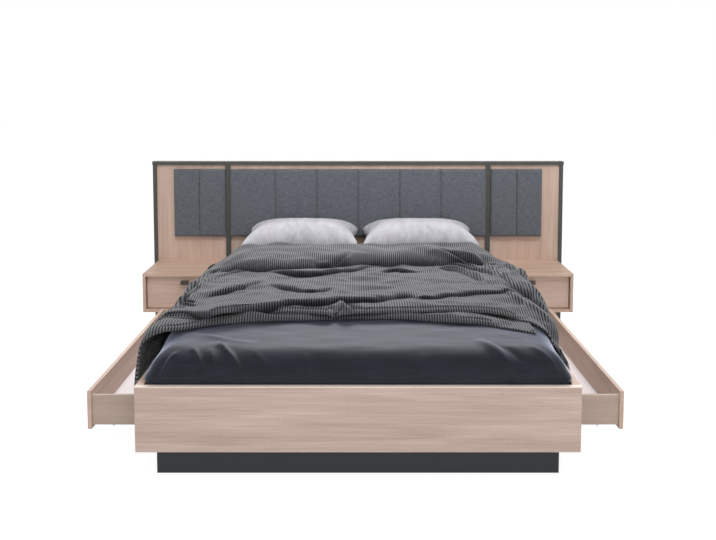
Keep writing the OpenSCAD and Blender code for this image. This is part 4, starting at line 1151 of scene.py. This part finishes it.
# %% Tables of the blanket
LEFT_SHOULDER = [(-1.06, 0.39), (-1.02, 0.415), (-0.97, 0.462), (-0.9, 0.508), (-0.8, 0.532), (-0.69, 0.529),
                 (-0.57, 0.511), (-0.43, 0.498), (-0.3, 0.506), (-0.17, 0.516), (0.0, 0.511), (0.17, 0.505),
                 (0.42, 0.492), (0.6, 0.50)]
RIGHT_SHOULDER = [(-1.0, 0.455), (-0.83, 0.455), (-0.78, 0.450), (-0.74, 0.443), (-0.70, 0.448),
                  (-0.66, 0.468), (-0.62, 0.487), (-0.57, 0.503), (-0.46, 0.520), (-0.38, 0.541),
                  (-0.12, 0.569), (0.1, 0.560), (0.35, 0.540), (0.5, 0.512), (0.6, 0.50)]
HEAD_LEFT = [(0.0, 0.619), (0.30, 0.621), (0.60, 0.620), (0.645, 0.611), (0.675, 0.591), (0.705, 0.572),
             (0.77, 0.540), (0.81, 0.516), (0.845, 0.498)]
HEAD_RIGHT = [(0.0, 0.619), (0.35, 0.622), (0.63, 0.620), (0.685, 0.609), (0.71, 0.596), (0.745, 0.578),
              (0.80, 0.550), (0.845, 0.530)]
UPPER_FOOT = [(-1.1, -0.955), (-1.0, -0.93), (-0.93, -0.83), (-0.86, -0.735), (-0.80, -0.68),
              (-0.745, -0.66), (-0.68, -0.655), (-0.6, -0.635), (-0.57, -0.612), (-0.5, -0.585),
              (-0.46, -0.568), (-0.405, -0.566), (-0.24, -0.570), (-0.11, -0.600), (-0.05, -0.600),
              (0.0, -0.580), (0.13, -0.570), (0.26, -0.565), (0.38, -0.548), (0.54, -0.546), (0.60, -0.56),
              (0.66, -0.59), (0.71, -0.635), (0.74, -0.69), (0.76, -0.718), (0.79, -0.726), (0.86, -0.735),
              (0.89, -0.755), (0.905, -0.79), (0.93, -0.845), (0.95, -0.81), (1.0, -0.72), (1.1, -0.62)]
UNDER_FOOT = [(-1.1, -0.965), (-1.0, -0.95), (-0.93, -0.93), (-0.87, -0.88), (-0.82, -0.845),
              (-0.764, -0.80), (-0.69, -0.762), (-0.627, -0.736), (-0.57, -0.715), (-0.405, -0.688),
              (-0.24, -0.678), (-0.1, -0.66), (-0.033, -0.652), (0.1, -0.658), (0.175, -0.664),
              (0.38, -0.70), (0.49, -0.717), (0.587, -0.738), (0.65, -0.757), (0.715, -0.785)]


def read_table(table, place):
    """The value of a table of (place, value) pairs, in a straight line between its entries."""
    return np.interp(place, *np.array(table).T)


def soft_table(table, s, width=0.02):
    """Reads a table with its corners softened over a width: a weighted mean of five near places."""
    spots = [s + width * k for k in (-1, -0.5, 0, 0.5, 1)]
    return sum(w * read_table(table, spot) for spot, w in zip(spots, (0.1, 0.25, 0.3, 0.25, 0.1)))


# %% [markdown]
# ## Columns and ribs
#
# The ribs of the knit run from head to foot, like the columns of the grid. Columns fine enough to shape
# each rib would make the mesh very heavy, so the shader draws the ribs from the pattern coordinates, and
# the columns only have to follow the folds: they stand closer together where the cloth is gathered. The
# table gives their spacing for each place s, in shares that the number of columns turns into lengths.

# %% Columns of the blanket
RIB = 0.0108
COLUMN_SPACING = [(-1.1, 8), (-0.93, 8), (-0.91, 4), (-0.67, 4), (-0.62, 14), (0.33, 14), (0.36, 7),
                  (0.70, 6.5), (0.73, 5), (0.86, 5), (0.90, 9), (1.1, 9)]


def spread_columns(span, count):
    """Places of the columns: equal steps of the running sum of 1 / spacing."""
    fine = np.linspace(*span, 4001)
    density = np.cumsum(1 / read_table(COLUMN_SPACING, fine))
    return np.interp(np.linspace(density[0], density[-1], count), density, fine)


def soften(values, passes=5):
    """Averages a grid of values with its neighbours, which rounds the sharp turns of a drawn line."""
    for _ in range(passes):
        padded = np.pad(values, 1, mode="edge")
        values = (padded[1:-1, :-2] + 2 * padded[1:-1, 1:-1] + padded[1:-1, 2:]) / 4
        padded = np.pad(values, 1, mode="edge")
        values = (padded[:-2, 1:-1] + 2 * padded[1:-1, 1:-1] + padded[2:, 1:-1]) / 4
    return values


# %% [markdown]
# ## Large form of the blanket
#
# Between the middle of the bed and the shoulder the height goes over from the cover's top to the
# shoulder's. Behind the plateau's line it climbs to the head section. All over, the cloth is a little
# uneven, by long waves in all directions and by short ones that come in patches.

# %% Height without folds
ON_COVER = 0.024
TOP_END = 0.70
TURN_AT_FOOT, TURN_AT_HEAD = 0.50, 0.625
TURN_CHANGE, TURN_RAMP = 0.15, 0.30
SHOULDER_LINE = 0.845
PLATEAU_RISE = 0.075
PLATEAU_GROOVE, PLATEAU_GROOVE_AT, PLATEAU_GROOVE_WIDTH = 0.15, 0.004, 0.008
# A plateau of this height, in millimetres, gets the full painted shade in its crease.
PLATEAU_AT_FULL_SHADE = 30
HEAD_SLOPE, HEAD_SLOPE_START, HEAD_SLOPE_REACH = 0.16, 0.50, 0.35


def waves(x, y, count, shortest, longest, low_turn, high_turn, seed):
    """A sum of sine waves in turned directions. Each is as high as it is long, times its share."""
    local = np.random.default_rng(seed)
    total = np.zeros_like(x)
    for _ in range(count):
        turn, phase = local.uniform(low_turn, high_turn), local.uniform(0, 2 * np.pi)
        length = local.uniform(shortest, longest)
        total += length * np.sin(2 * np.pi * (x * math.cos(turn) * 0.7 + y * math.sin(turn)) / length + phase)
    return total


def crumple(x, y):
    """Unevenness all over: long waves in all directions, and short ones across that come in patches."""
    patches = np.clip(0.5 + 4.0 * waves(x, y, 5, 0.25, 0.6, 0, np.pi, 8), 0, 1)
    long_waves = waves(x, y, 9, 0.08, 0.26, 0, np.pi, 5)
    short_waves = waves(x, y, 8, 0.045, 0.10, 1.0, 2.1, 6)
    return 0.012 * long_waves + 0.014 * patches * short_waves


def flat_height(s, y):
    """The height before the folds, the plateau's height near the head, and the painted shade of its crease.
    """
    behind, plateau_height = signed_distance(s, y, rounded_line(PLATEAU))
    start = mix(TURN_AT_FOOT, TURN_AT_HEAD, smooth((y - TURN_CHANGE) / TURN_RAMP))
    towards = smooth((np.abs(s) - start) / (SHOULDER_LINE - start))
    centre = cover_top_at(np.minimum(np.abs(s), TOP_END), y) + ON_COVER
    shoulder = np.where(s < 0, read_table(LEFT_SHOULDER, y), read_table(RIGHT_SHOULDER, y))
    front = mix(centre, shoulder, towards)
    section = np.where(s < 0, read_table(HEAD_LEFT, -s), read_table(HEAD_RIGHT, s))
    fallen = HEAD_SLOPE * np.clip(HEAD_SLOPE_START - y, 0, HEAD_SLOPE_REACH)
    rise = np.maximum(section - fallen - front, 0)
    step = rise * wall(np.maximum(behind, 0) / PLATEAU_RISE)
    at_groove = np.exp(-((behind + PLATEAU_GROOVE_AT) / PLATEAU_GROOVE_WIDTH) ** 2)
    groove = PLATEAU_GROOVE * plateau_height / 1000 * at_groove
    # Painted shade along the plateau's crease, fuller where the plateau is higher.
    crease_shade_mask = np.exp(-((behind + CREASE_AT) / CREASE_WIDTH) ** 2)
    return front + step - groove, step, crease_shade_mask * np.clip(plateau_height / PLATEAU_AT_FULL_SHADE, 0, 1)


def cover_side_at(x, y):
    """Height of the cover's surface with its rounded side: flat, then a quarter circle."""
    beyond = np.clip((x - cover_half[0] + COVER_ROUND) / COVER_ROUND, 0, 1)
    return cover_top_at(np.minimum(x, TOP_END), y) - COVER_ROUND * (1 - np.sqrt(1 - beyond ** 2))


# %% [markdown]
# ## Two layers
#
# At the foot the blanket is folded back on itself, so two hems show there, one above the other. Both
# layers are the same surface with other values: the upper one runs up to the pillows, where its edge
# rolls down, and the turned-under one ends out of sight below it.
#
# Across the bed the surface goes round the shoulder as a quarter ellipse and then straight down. The
# hanging sides aren't straight: they swing a little, stand out in a belly towards each foot corner, and
# at the right corner itself the cloth is drawn in.
#
# The values of a layer are: where it ends at the head, and over which share of its length it rolls down
# there; how much nearer to the foot it ends at its sides; how high it lies on the cloth under it near
# the foot, and how far that pushes it forward; how much the plateau leans forward; how far it sinks at
# its hem; how far it lies below the other layer; and the least distance from the cover.

# %% The two layers
HALF_SPAN = 0.842
SHOULDER_OUT, SHOULDER_DOWN = 0.050, 0.055
SHOULDER_START = HALF_SPAN - SHOULDER_OUT
LEAN = 0.95
LEAN_END, LEAN_RAMP = 0.24, 0.18
STACK_START, STACK_RAMP = -0.25, 0.25
STACK_SIDE, STACK_SIDE_RAMP = 0.60, 0.14
TAPER_START, TAPER_RAMP = 0.62, 0.22
LEAST_GAP = 0.004
HEM_DIP, HEM_QUIET = 0.030, 0.05
SIDE_FOLDS = 0.45

UPPER_LAYER = {"foot": UPPER_FOOT, "head": 0.515, "head_roll": 0.065, "head_taper": 0.13, "stacked": 0.022,
               "forward": 3.55, "plateau_lean": 0.8, "hem_dip": 0.012, "below": 0.0, "clear": 0.016}
UNDER_LAYER = {"foot": UNDER_FOOT, "head": -0.40, "head_roll": 0.0, "head_taper": 0.0, "stacked": 0.014,
               "forward": 0.0, "plateau_lean": 0.0, "hem_dip": 0.014, "below": 0.013, "clear": 0.008}


def quarter_ellipse(rx, rz):
    """Length of a quarter of an ellipse: pi / 4 of three times the sum of both radii less a square root."""
    return math.pi / 4 * (3 * (rx + rz) - math.sqrt((3 * rx + rz) * (rx + 3 * rz)))


def side_swing(s, y, theta, down):
    """How far the hanging sides stand out: a wave in the whole drop, a belly at the left foot corner, one
    before the right corner, and the right corner itself, where the cloth is drawn in."""
    swing = 0.004 * np.sin(y * 33 + 1.5 * np.sin(y * 9)) * smooth(down / 0.03)
    left_belly = 0.018 * smooth((-0.60 - y) / 0.18) * smooth(theta / 1.5)
    right_belly = 0.010 * smooth((-0.40 - y) / 0.12) * smooth((y + 0.72) / 0.06) * smooth(theta / 1.2)
    right_tuck = 0.014 * smooth((-0.62 - y) / 0.08) * smooth(theta / 0.5) * (1 - smooth(down / 0.04))
    return swing + left_belly * (s < 0) + (right_belly - right_tuck) * (s > 0)


def all_folds(s, y, folds, ridges):
    """The lifts of all lines added up, and the fullest painted crease shade at each point."""
    folded = np.zeros_like(s)
    painted_crease_shade = np.zeros_like(s)
    for shape, lines in ((fold, folds), (ridge, ridges)):
        for line in lines:
            lift, depth = shape(s, y, *line)
            folded += lift
            painted_crease_shade = np.maximum(painted_crease_shade, depth)
    return folded, painted_crease_shade


def layer_places(layer, span, columns, rows):
    """For each point its s and y, the hem's y in its column, and its turn down at the head, 0 to 1."""
    s, v = np.meshgrid(spread_columns(span, columns), np.linspace(0, 1, rows))
    foot_y = soft_table(layer["foot"], s)
    roll = layer["head_roll"]
    turn = np.clip((v - 1 + roll) / roll, 0, 1) if roll else np.zeros_like(v)
    along = np.where(turn > 0, 1 - roll + roll * np.sin(turn * np.pi / 2), v)
    head_y = layer["head"] - layer["head_taper"] * smooth((np.abs(s) - TAPER_START) / TAPER_RAMP)
    return s, mix(foot_y, head_y, along), foot_y, turn


# %% [markdown]
# Now everything comes together: the places of the points, the height without folds, the section round
# the shoulder, and the folds, which move each point along the surface's normal. At the end the cloth is
# kept above the cover, so that nothing of the cover shows through it.

# %% Blanket surface
def blanket_grid(layer, span, columns, rows, folds, ridges):
    """Points, pattern coordinates and painted crease shade of one layer, from the foot hem to the head.

    Folds lift the surface along its normal, and lean a little towards the foot, as a pushed cloth does."""
    s, y, foot_y, turn = layer_places(layer, span, columns, rows)
    folded, painted_crease_shade = all_folds(s, y, folds, ridges)
    a = np.abs(s)
    arc = quarter_ellipse(SHOULDER_OUT, SHOULDER_DOWN)
    theta = np.clip((a - SHOULDER_START) / arc, 0, 1) * math.pi / 2
    down = np.maximum(a - SHOULDER_START - arc, 0)

    height, step, plateau_painted_shade = flat_height(s, y)
    height, step = soften(height), soften(step)
    in_middle = 1 - smooth((a - STACK_SIDE) / STACK_SIDE_RAMP)
    stacked = layer["stacked"] * smooth((STACK_START - y) / STACK_RAMP) * in_middle
    height = height + stacked - layer["hem_dip"] * (1 - wall((y - foot_y) / HEM_DIP))
    low = cover_top_at(np.minimum(a, TOP_END), y) + LEAST_GAP
    height = low + (height - layer["below"] - low) * np.cos(turn * np.pi / 2)

    quiet = np.cos(turn * np.pi / 2) * smooth((y - foot_y) / HEM_QUIET)
    less_on_side = mix(1.0, SIDE_FOLDS, smooth(theta / (math.pi / 2)))
    outward = (folded + crumple(s, y) * quiet) * less_on_side + side_swing(s, y, theta, down)
    nx, nz = np.sin(theta) / SHOULDER_OUT, np.cos(theta) / SHOULDER_DOWN
    size = np.hypot(nx, nz)
    x = np.minimum(a, SHOULDER_START) + SHOULDER_OUT * np.sin(theta) + nx / size * outward
    z = height - SHOULDER_DOWN * (1 - np.cos(theta)) - down + nz / size * outward
    plateau_lean = layer["plateau_lean"] * step * (1 - smooth((y - LEAN_END) / LEAN_RAMP))
    y = y - LEAN * folded - layer["forward"] * stacked - plateau_lean
    z = np.where(x < cover_half[0], np.maximum(z, cover_side_at(x, y) + layer["clear"]), z)
    return np.stack([np.sign(s) * x, y, z], 2), np.stack([s, y], 2), np.maximum(painted_crease_shade, plateau_painted_shade)


# %% [markdown]
# ## Hems
#
# The hem of the blanket is rolled and stitched, so its edge is 9 mm thick. A grid can show this without
# a second layer: past the edge, more rows follow a half circle downwards and run back a little under
# the cloth.

# %% Hems
HEM_RADIUS = 0.0045
HEM_ANGLES = np.radians([30, 60, 90, 120, 150, 180])
HEM_RETURNS = (0.010, 0.028)
HEM_ROWS = len(HEM_ANGLES) + len(HEM_RETURNS)


def hem_rows(points, outwards):
    """Rows that roll under the first row of a grid. outwards is the surface normal at that row."""
    edge, second = points[0], points[1]
    tangent = edge - second
    tangent = tangent / np.linalg.norm(tangent, axis=1, keepdims=True)
    rows = [edge + HEM_RADIUS * (tangent * math.sin(angle) - outwards * (1 - math.cos(angle)))
            for angle in HEM_ANGLES]
    rows += [edge - tangent * back - outwards * 2 * HEM_RADIUS for back in HEM_RETURNS]
    return np.concatenate([np.stack(rows[::-1]), points])


def with_hems(points, head):
    """Rolls the hems of the foot, the left and the right edge, and of the head edge where it is asked."""
    points = hem_rows(points, normals_of(points)[0])
    if head:
        flipped = points[::-1]
        points = hem_rows(flipped, -normals_of(flipped)[0])[::-1]
    for sign in (-1, 1):
        turned = points.transpose(1, 0, 2)
        points = hem_rows(turned, sign * normals_of(turned)[0]).transpose(1, 0, 2)[:, ::-1]
    return points


# %% [markdown]
# ## Ribbed knit
#
# Near by, each rib is a pale round cord with small stitches, and a groove lies beside it. A cosine of
# the pattern's s draws the ribs, and a sine of its y draws the stitches, bent by the rib so that they
# look like small arrows. The ribs are not in the mesh, so the dark colour in the grooves and between the
# stitches is painted shade, besides the bump. Where folds press the cloth together, light can't reach
# its fibres, and that shade is painted too: each point carries it as an attribute, and the shader
# darkens the yarn's colour with it.

# %% Ribbed knit
STITCH = 0.0045
STITCH_BEND = 2.2
CREASE_SHADE = 0.8


def knit(name):
    """Ribbed knit: pale rib tops, rows of small stitches, and painted shade in grooves, gaps and creases."""
    finish = Finish(name)
    place = finish.separate((1, 1, 1), "UV")
    wave = finish.math("COSINE", finish.math("MULTIPLY", place["X"], 2 * math.pi / RIB))
    half_wave = finish.math("SINE", finish.math("MULTIPLY", place["X"], math.pi / RIB))
    bend = (finish.math("ABSOLUTE", half_wave), STITCH_BEND)
    stitch = finish.math("SINE", finish.weighted((place["Y"], 2 * math.pi / STITCH), bend))
    uneven = finish.noise((60, 16, 1), 4, 0.6, kind="UV")
    fuzz = finish.noise((900, 900, 900))
    # The grooves between the ribs are painted dark: painted shade.
    colour = finish.blend(finish.spread(wave, -0.7, 0.45), srgb(20, 21, 24), srgb(134, 134, 138))
    colour = finish.blend(finish.spread(uneven, 0.3, 0.7, 0.0, 0.22), colour, srgb(78, 79, 82))
    # Darker between the stitches: painted shade.
    colour = finish.blend(finish.spread(stitch, -1.0, 0.2, 0.30, 0.0), colour, srgb(36, 37, 40))
    # Painted shade in the folds' creases, from the attribute that each point carries.
    painted_crease_shade = finish.add("ShaderNodeAttribute", attribute_name="painted_crease_shade")
    shade = finish.math("MULTIPLY", painted_crease_shade.outputs["Fac"], CREASE_SHADE)
    finish.colour(finish.blend(shade, colour, srgb(14, 15, 17)))
    finish.relief(finish.weighted((wave, 0.6), (stitch, 0.25), (fuzz, 0.4)), 0.0012, 0.7)
    finish.set({"Roughness": 0.95, "Sheen Weight": 0.25, "Sheen Roughness": 0.45, "Specular IOR Level": 0.15})
    return finish.material


# %% [markdown]
# Both layers become meshes with rolled hems. The pattern and the painted crease shade need a value for
# every point, so the values of the edge are repeated for the rows of the hems.

# %% Both layers of the blanket
UPPER_SPAN = 95 * RIB
UNDER_END = 0.715
knit_cloth = knit("ribbed_knit")


def knitted_piece(name, grid, head):
    """One layer as a mesh. Its pattern and painted crease shade go on unchanged into the rolled hems."""
    points, pattern, painted_crease_shade = grid
    hemmed = with_hems(points, head)
    hem = ((HEM_ROWS, HEM_ROWS if head else 0), (HEM_ROWS, HEM_ROWS))
    piece = grid_piece(name, hemmed, np.pad(pattern, (*hem, (0, 0)), mode="edge"))
    # The painted shade of the creases is stored on the points, for the knit's shader.
    layer = piece.data.attributes.new("painted_crease_shade", "FLOAT", "POINT")
    layer.data.foreach_set("value", np.pad(painted_crease_shade, hem, mode="edge").astype(np.float32).ravel())
    piece.data.materials.append(knit_cloth)
    return piece


upper = blanket_grid(UPPER_LAYER, (-UPPER_SPAN, UPPER_SPAN), 252, 348, FOLDS, RIDGES)
under = blanket_grid(UNDER_LAYER, (-UPPER_SPAN, UNDER_END), 200, 80, [], UNDER_RIDGES)
blanket = knitted_piece("rib_blanket", upper, True)
turned_under = knitted_piece("rib_blanket_turned_under", under, False)
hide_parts("blanket")

# %% [markdown]
# ## Pillows
#
# A pillow is two rectangles of cotton sewn together and stuffed. That is what I simulate: a closed bag,
# inflated by Blender's cloth solver. The edges draw in between the corners by themselves, and the
# corners stay pointed. A bag that only air fills looks too tight, though. So the result is mixed with
# the plain bag that it came from, which is fuller at its rim, and scaled to the size of the real
# pillow.

# %% The bag
PILLOW_SIZE = (0.665, 0.430, 0.211)
PILLOW_SHIFT = np.array([0.014, 0, 0.006])
PILLOW_TILT = math.radians(3)
BAG_HALF = (0.36, 0.245)
BAG_THICKNESS = 0.045
BAG_GRID = (97, 65)


def pillow_bag(columns, rows, thickness):
    """Two sheets that share their rim: height (1 - u^4)(1 - v^4) to the power of one half."""
    u, v = np.meshgrid(np.linspace(-1, 1, columns), np.linspace(-1, 1, rows))
    height = thickness * np.sqrt(np.clip((1 - u ** 4) * (1 - v ** 4), 0, 1))
    upper = np.stack([u * BAG_HALF[0], v * BAG_HALF[1], height], 2)
    lower = upper * (1, 1, -1)
    index = np.arange(rows * columns).reshape(rows, columns)
    rim = np.ones_like(index, bool)
    rim[1:-1, 1:-1] = False
    second = np.where(rim, index, index + rows * columns)
    faces = np.concatenate([quads(index), quads(second)[:, [0, 3, 2, 1]]])
    points = np.concatenate([upper.reshape(-1, 3), lower.reshape(-1, 3)])
    used, inverse = np.unique(faces, return_inverse=True)
    return points[used], inverse.reshape(faces.shape)


# %% [markdown]
# The solver starts from the bag with a wobble of half a millimetre, so that its wrinkles aren't
# mirrored. It runs for a few frames, the points are read, and the bag with its modifier is deleted.

# %% Stuffing by simulation
STUFFING_FRAMES = 26
STUFFING_PRESSURE = 5.0
STUFFED_SHARE = 0.45
WOBBLE = 0.0006
CLOTH = {"tension_stiffness": 40, "compression_stiffness": 40, "shear_stiffness": 8, "bending_stiffness": 0.2,
         "mass": 0.25, "quality": 6}


def inflate(points, faces, frames, pressure, seed):
    """Runs the cloth solver on a bag and returns its points."""
    mesh = bpy.data.meshes.new("bag")
    wobble = np.random.default_rng(seed).normal(0, WOBBLE, points.shape)
    mesh.from_pydata((points + wobble).tolist(), [], faces.tolist())
    bag = bpy.data.objects.new("bag", mesh)
    bpy.context.scene.collection.objects.link(bag)
    cloth = bag.modifiers.new("cloth", "CLOTH")
    cloth.settings.use_pressure = True
    cloth.settings.uniform_pressure_force = pressure
    cloth.settings.effector_weights.gravity = 0
    for setting, value in CLOTH.items():
        setattr(cloth.settings, setting, value)
    cloth.point_cache.frame_start = 1
    cloth.point_cache.frame_end = frames
    scene = bpy.context.scene
    for frame_number in range(1, frames + 1):
        scene.frame_set(frame_number)
    evaluated = bag.evaluated_get(bpy.context.evaluated_depsgraph_get())
    moved = np.zeros(len(evaluated.data.vertices) * 3)
    evaluated.data.vertices.foreach_get("co", moved)
    bpy.data.objects.remove(bag)
    bpy.data.meshes.remove(mesh)
    scene.frame_set(1)
    return moved.reshape(-1, 3)


# %% [markdown]
# ## Cotton of the pillows
#
# The pillows have slips of white percale. White cloth that is lit from all sides looks flat, so a soft
# noise tints it a little, and a wide bump gives it the shallow dents of a used pillow. The tint follows
# the bump: it is darker in the dents, as painted shade.

# %% Cotton of the pillows
def pillow_cotton(name):
    """White percale with soft dents, darker in the dents as painted shade."""
    finish = Finish(name)
    fine = finish.noise((900, 900, 900), 2)
    soft = finish.noise((22, 9, 9), 4, 0.55, 0.5)
    # The same noise gives the dents and darkens them: painted shade.
    finish.colour(finish.blend(finish.spread(soft, 0.3, 0.7), srgb(176, 174, 180), srgb(198, 196, 202)))
    finish.relief(finish.weighted((soft, 1.0), (fine, 0.05)), 0.006, 0.5)
    finish.set({"Roughness": 0.85, "Sheen Weight": 0.15, "Specular IOR Level": 0.25})
    return finish.material


def fitted(points):
    """Moves a shape to the origin and scales it to the pillow's size."""
    low, high = points.min(0), points.max(0)
    return (points - (low + high) / 2) * np.array(PILLOW_SIZE) / (high - low)


def tilted(points):
    """Turns a shape about the x axis, so that the head side of the pillow lies a little higher."""
    x, y, z = points.T
    return np.column_stack([x, y * math.cos(PILLOW_TILT) - z * math.sin(PILLOW_TILT),
                            y * math.sin(PILLOW_TILT) + z * math.cos(PILLOW_TILT)])


# %% [markdown]
# Each pillow leans by three degrees, up towards the headboard, and has a seed of its own, so that the
# two differ. One level of subdivision rounds the small facets of the bag.

# %% The two pillows
pillow_cloth = pillow_cotton("pillow_cotton")
bag_points, bag_faces = pillow_bag(*BAG_GRID, BAG_THICKNESS)
for name, seed in (("left_pillow", 11), ("right_pillow", 12)):
    low, high = box_of(name)
    shape = fitted(bag_points)
    stuffed = inflate(bag_points, bag_faces, STUFFING_FRAMES, STUFFING_PRESSURE, seed)
    shape = fitted(mix(shape, fitted(stuffed), STUFFED_SHARE))
    piece = finish_mesh(name + "_cloth", tilted(shape) + (low + high) / 2 + PILLOW_SHIFT, bag_faces)
    piece.data.materials.append(pillow_cloth)
    subdivision = piece.modifiers.new("smooth", "SUBSURF")
    subdivision.levels = subdivision.render_levels = 1
    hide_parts(name)

# %% [markdown]
# ## Studio
#
# A white floor and a white world light the bed from all sides, as in a product photograph. Rays from the
# camera, from gloss and through glass see both at full white, and the light that they cast on the bed
# is set apart and lower.

# %% Floor and world
FLOOR_HALF = 30
FLOOR_COLOUR = (0.86, 0.86, 0.86, 1)
FLOOR_GLOW, GLOW_SHARE = 1.5, 0.6
WHITE = (1, 1, 1, 1)
WORLD_SEEN, WORLD_LIGHT = 1.0, 0.33

floor_mesh = bpy.data.meshes.new("floor")
corners = [(-FLOOR_HALF, -FLOOR_HALF, 0), (FLOOR_HALF, -FLOOR_HALF, 0), (FLOOR_HALF, FLOOR_HALF, 0),
           (-FLOOR_HALF, FLOOR_HALF, 0)]
floor_mesh.from_pydata(corners, [], [(0, 1, 2, 3)])
floor = bpy.data.objects.new("floor", floor_mesh)
bpy.context.scene.collection.objects.link(floor)


def seen_rays(tree):
    """1 for rays from the camera, from gloss and through glass, else 0."""
    path = tree.nodes.new("ShaderNodeLightPath")
    seen = path.outputs["Is Camera Ray"]
    for kind in ("Is Glossy Ray", "Is Transmission Ray"):
        larger = tree.nodes.new("ShaderNodeMath")
        larger.operation = "MAXIMUM"
        tree.links.new(seen, larger.inputs[0])
        tree.links.new(path.outputs[kind], larger.inputs[1])
        seen = larger.outputs[0]
    return seen


def mixed(tree, amount, first, second):
    """A shader that goes over from the first to the second by an amount."""
    both = tree.nodes.new("ShaderNodeMixShader")
    for place, output in enumerate((amount, first, second)):
        tree.links.new(output, both.inputs[place])
    return both.outputs[0]


floor_finish = Finish("studio_floor")
floor_finish.set({"Base Color": FLOOR_COLOUR, "Roughness": 1.0, "Specular IOR Level": 0.0})
glow = floor_finish.add("ShaderNodeEmission")
set_inputs(glow, {"Color": WHITE, "Strength": FLOOR_GLOW})
amount = floor_finish.math("MULTIPLY", seen_rays(floor_finish.tree), GLOW_SHARE)
glowing = mixed(floor_finish.tree, amount, floor_finish.surface.outputs[0], glow.outputs[0])
floor_finish.link(glowing, floor_finish.tree.nodes["Material Output"].inputs["Surface"])
floor_mesh.materials.append(floor_finish.material)

world = bpy.data.worlds.new("studio")
world.use_nodes = True
bpy.context.scene.world = world
casting = world.node_tree.nodes["Background"]
seen = world.node_tree.nodes.new("ShaderNodeBackground")
set_inputs(seen, {"Color": WHITE, "Strength": WORLD_SEEN})
set_inputs(casting, {"Color": WHITE, "Strength": WORLD_LIGHT})
sky = mixed(world.node_tree, seen_rays(world.node_tree), casting.outputs[0], seen.outputs[0])
world.node_tree.links.new(sky, world.node_tree.nodes["World Output"].inputs["Surface"])

# %% [markdown]
# ## Lamps
#
# The lamps shape the bed. The key lamp stands high behind the headboard and lights the tops and the
# backs of the folds, so that each fold has a dark side towards the camera. A softer lamp hangs over the
# bed, a narrow one lights the headboard and pads, and one behind the camera fills the fronts. A low one
# lights the footboard, the plinth and the drawers' boxes, and one at each side keeps the far ends of the
# nightstands and drawers from going dark.

# %% Lamps
def area_lamp(name, place, aim, size, power, spread=180):
    """A flat lamp at a place, turned towards the point that it lights."""
    data = bpy.data.lights.new(name, "AREA")
    data.shape = "RECTANGLE"
    data.size, data.size_y = size
    data.spread = math.radians(spread)
    data.energy = power
    lamp = bpy.data.objects.new(name, data)
    lamp.location = place
    direction = np.array(aim, float) - np.array(place, float)
    lamp.rotation_euler = (math.atan2(math.hypot(direction[0], direction[1]), -direction[2]), 0,
                           math.atan2(direction[0], -direction[1]) + math.pi)
    bpy.context.scene.collection.objects.link(lamp)
    return lamp


area_lamp("key_softbox", (0, 3.7, 4.3), (0, -1.2, 0.4), (4.4, 1.8), 50, 64)
area_lamp("bed_softbox", (0, -0.40, 3.0), (0, -0.40, 0.4), (3.2, 1.6), 20)
area_lamp("headboard_softbox", (0.3, -0.55, 2.3), (0, 0.98, 0.72), (2.8, 0.5), 7.5, 85)
area_lamp("front_softbox", (1.6, -8.8, 4.0), (0, 0, 0.5), (4.0, 2.4), 120)
area_lamp("low_softbox", (0, -2.45, 0.10), (0, -1.05, 0.22), (3.6, 0.3), 11)
for side in (-1, 1):
    area_lamp("side_softbox", (side * 6.5, -0.4, 1.2), (0, 0, 0.4), (2.4, 1.6), 22)
print("lamps:", len(bpy.data.lights))

# %% [markdown]
# ## View transform
#
# The script sets the Standard view transform, and ends.

# %% Standard view transform
bpy.context.scene.view_settings.view_transform = "Standard"
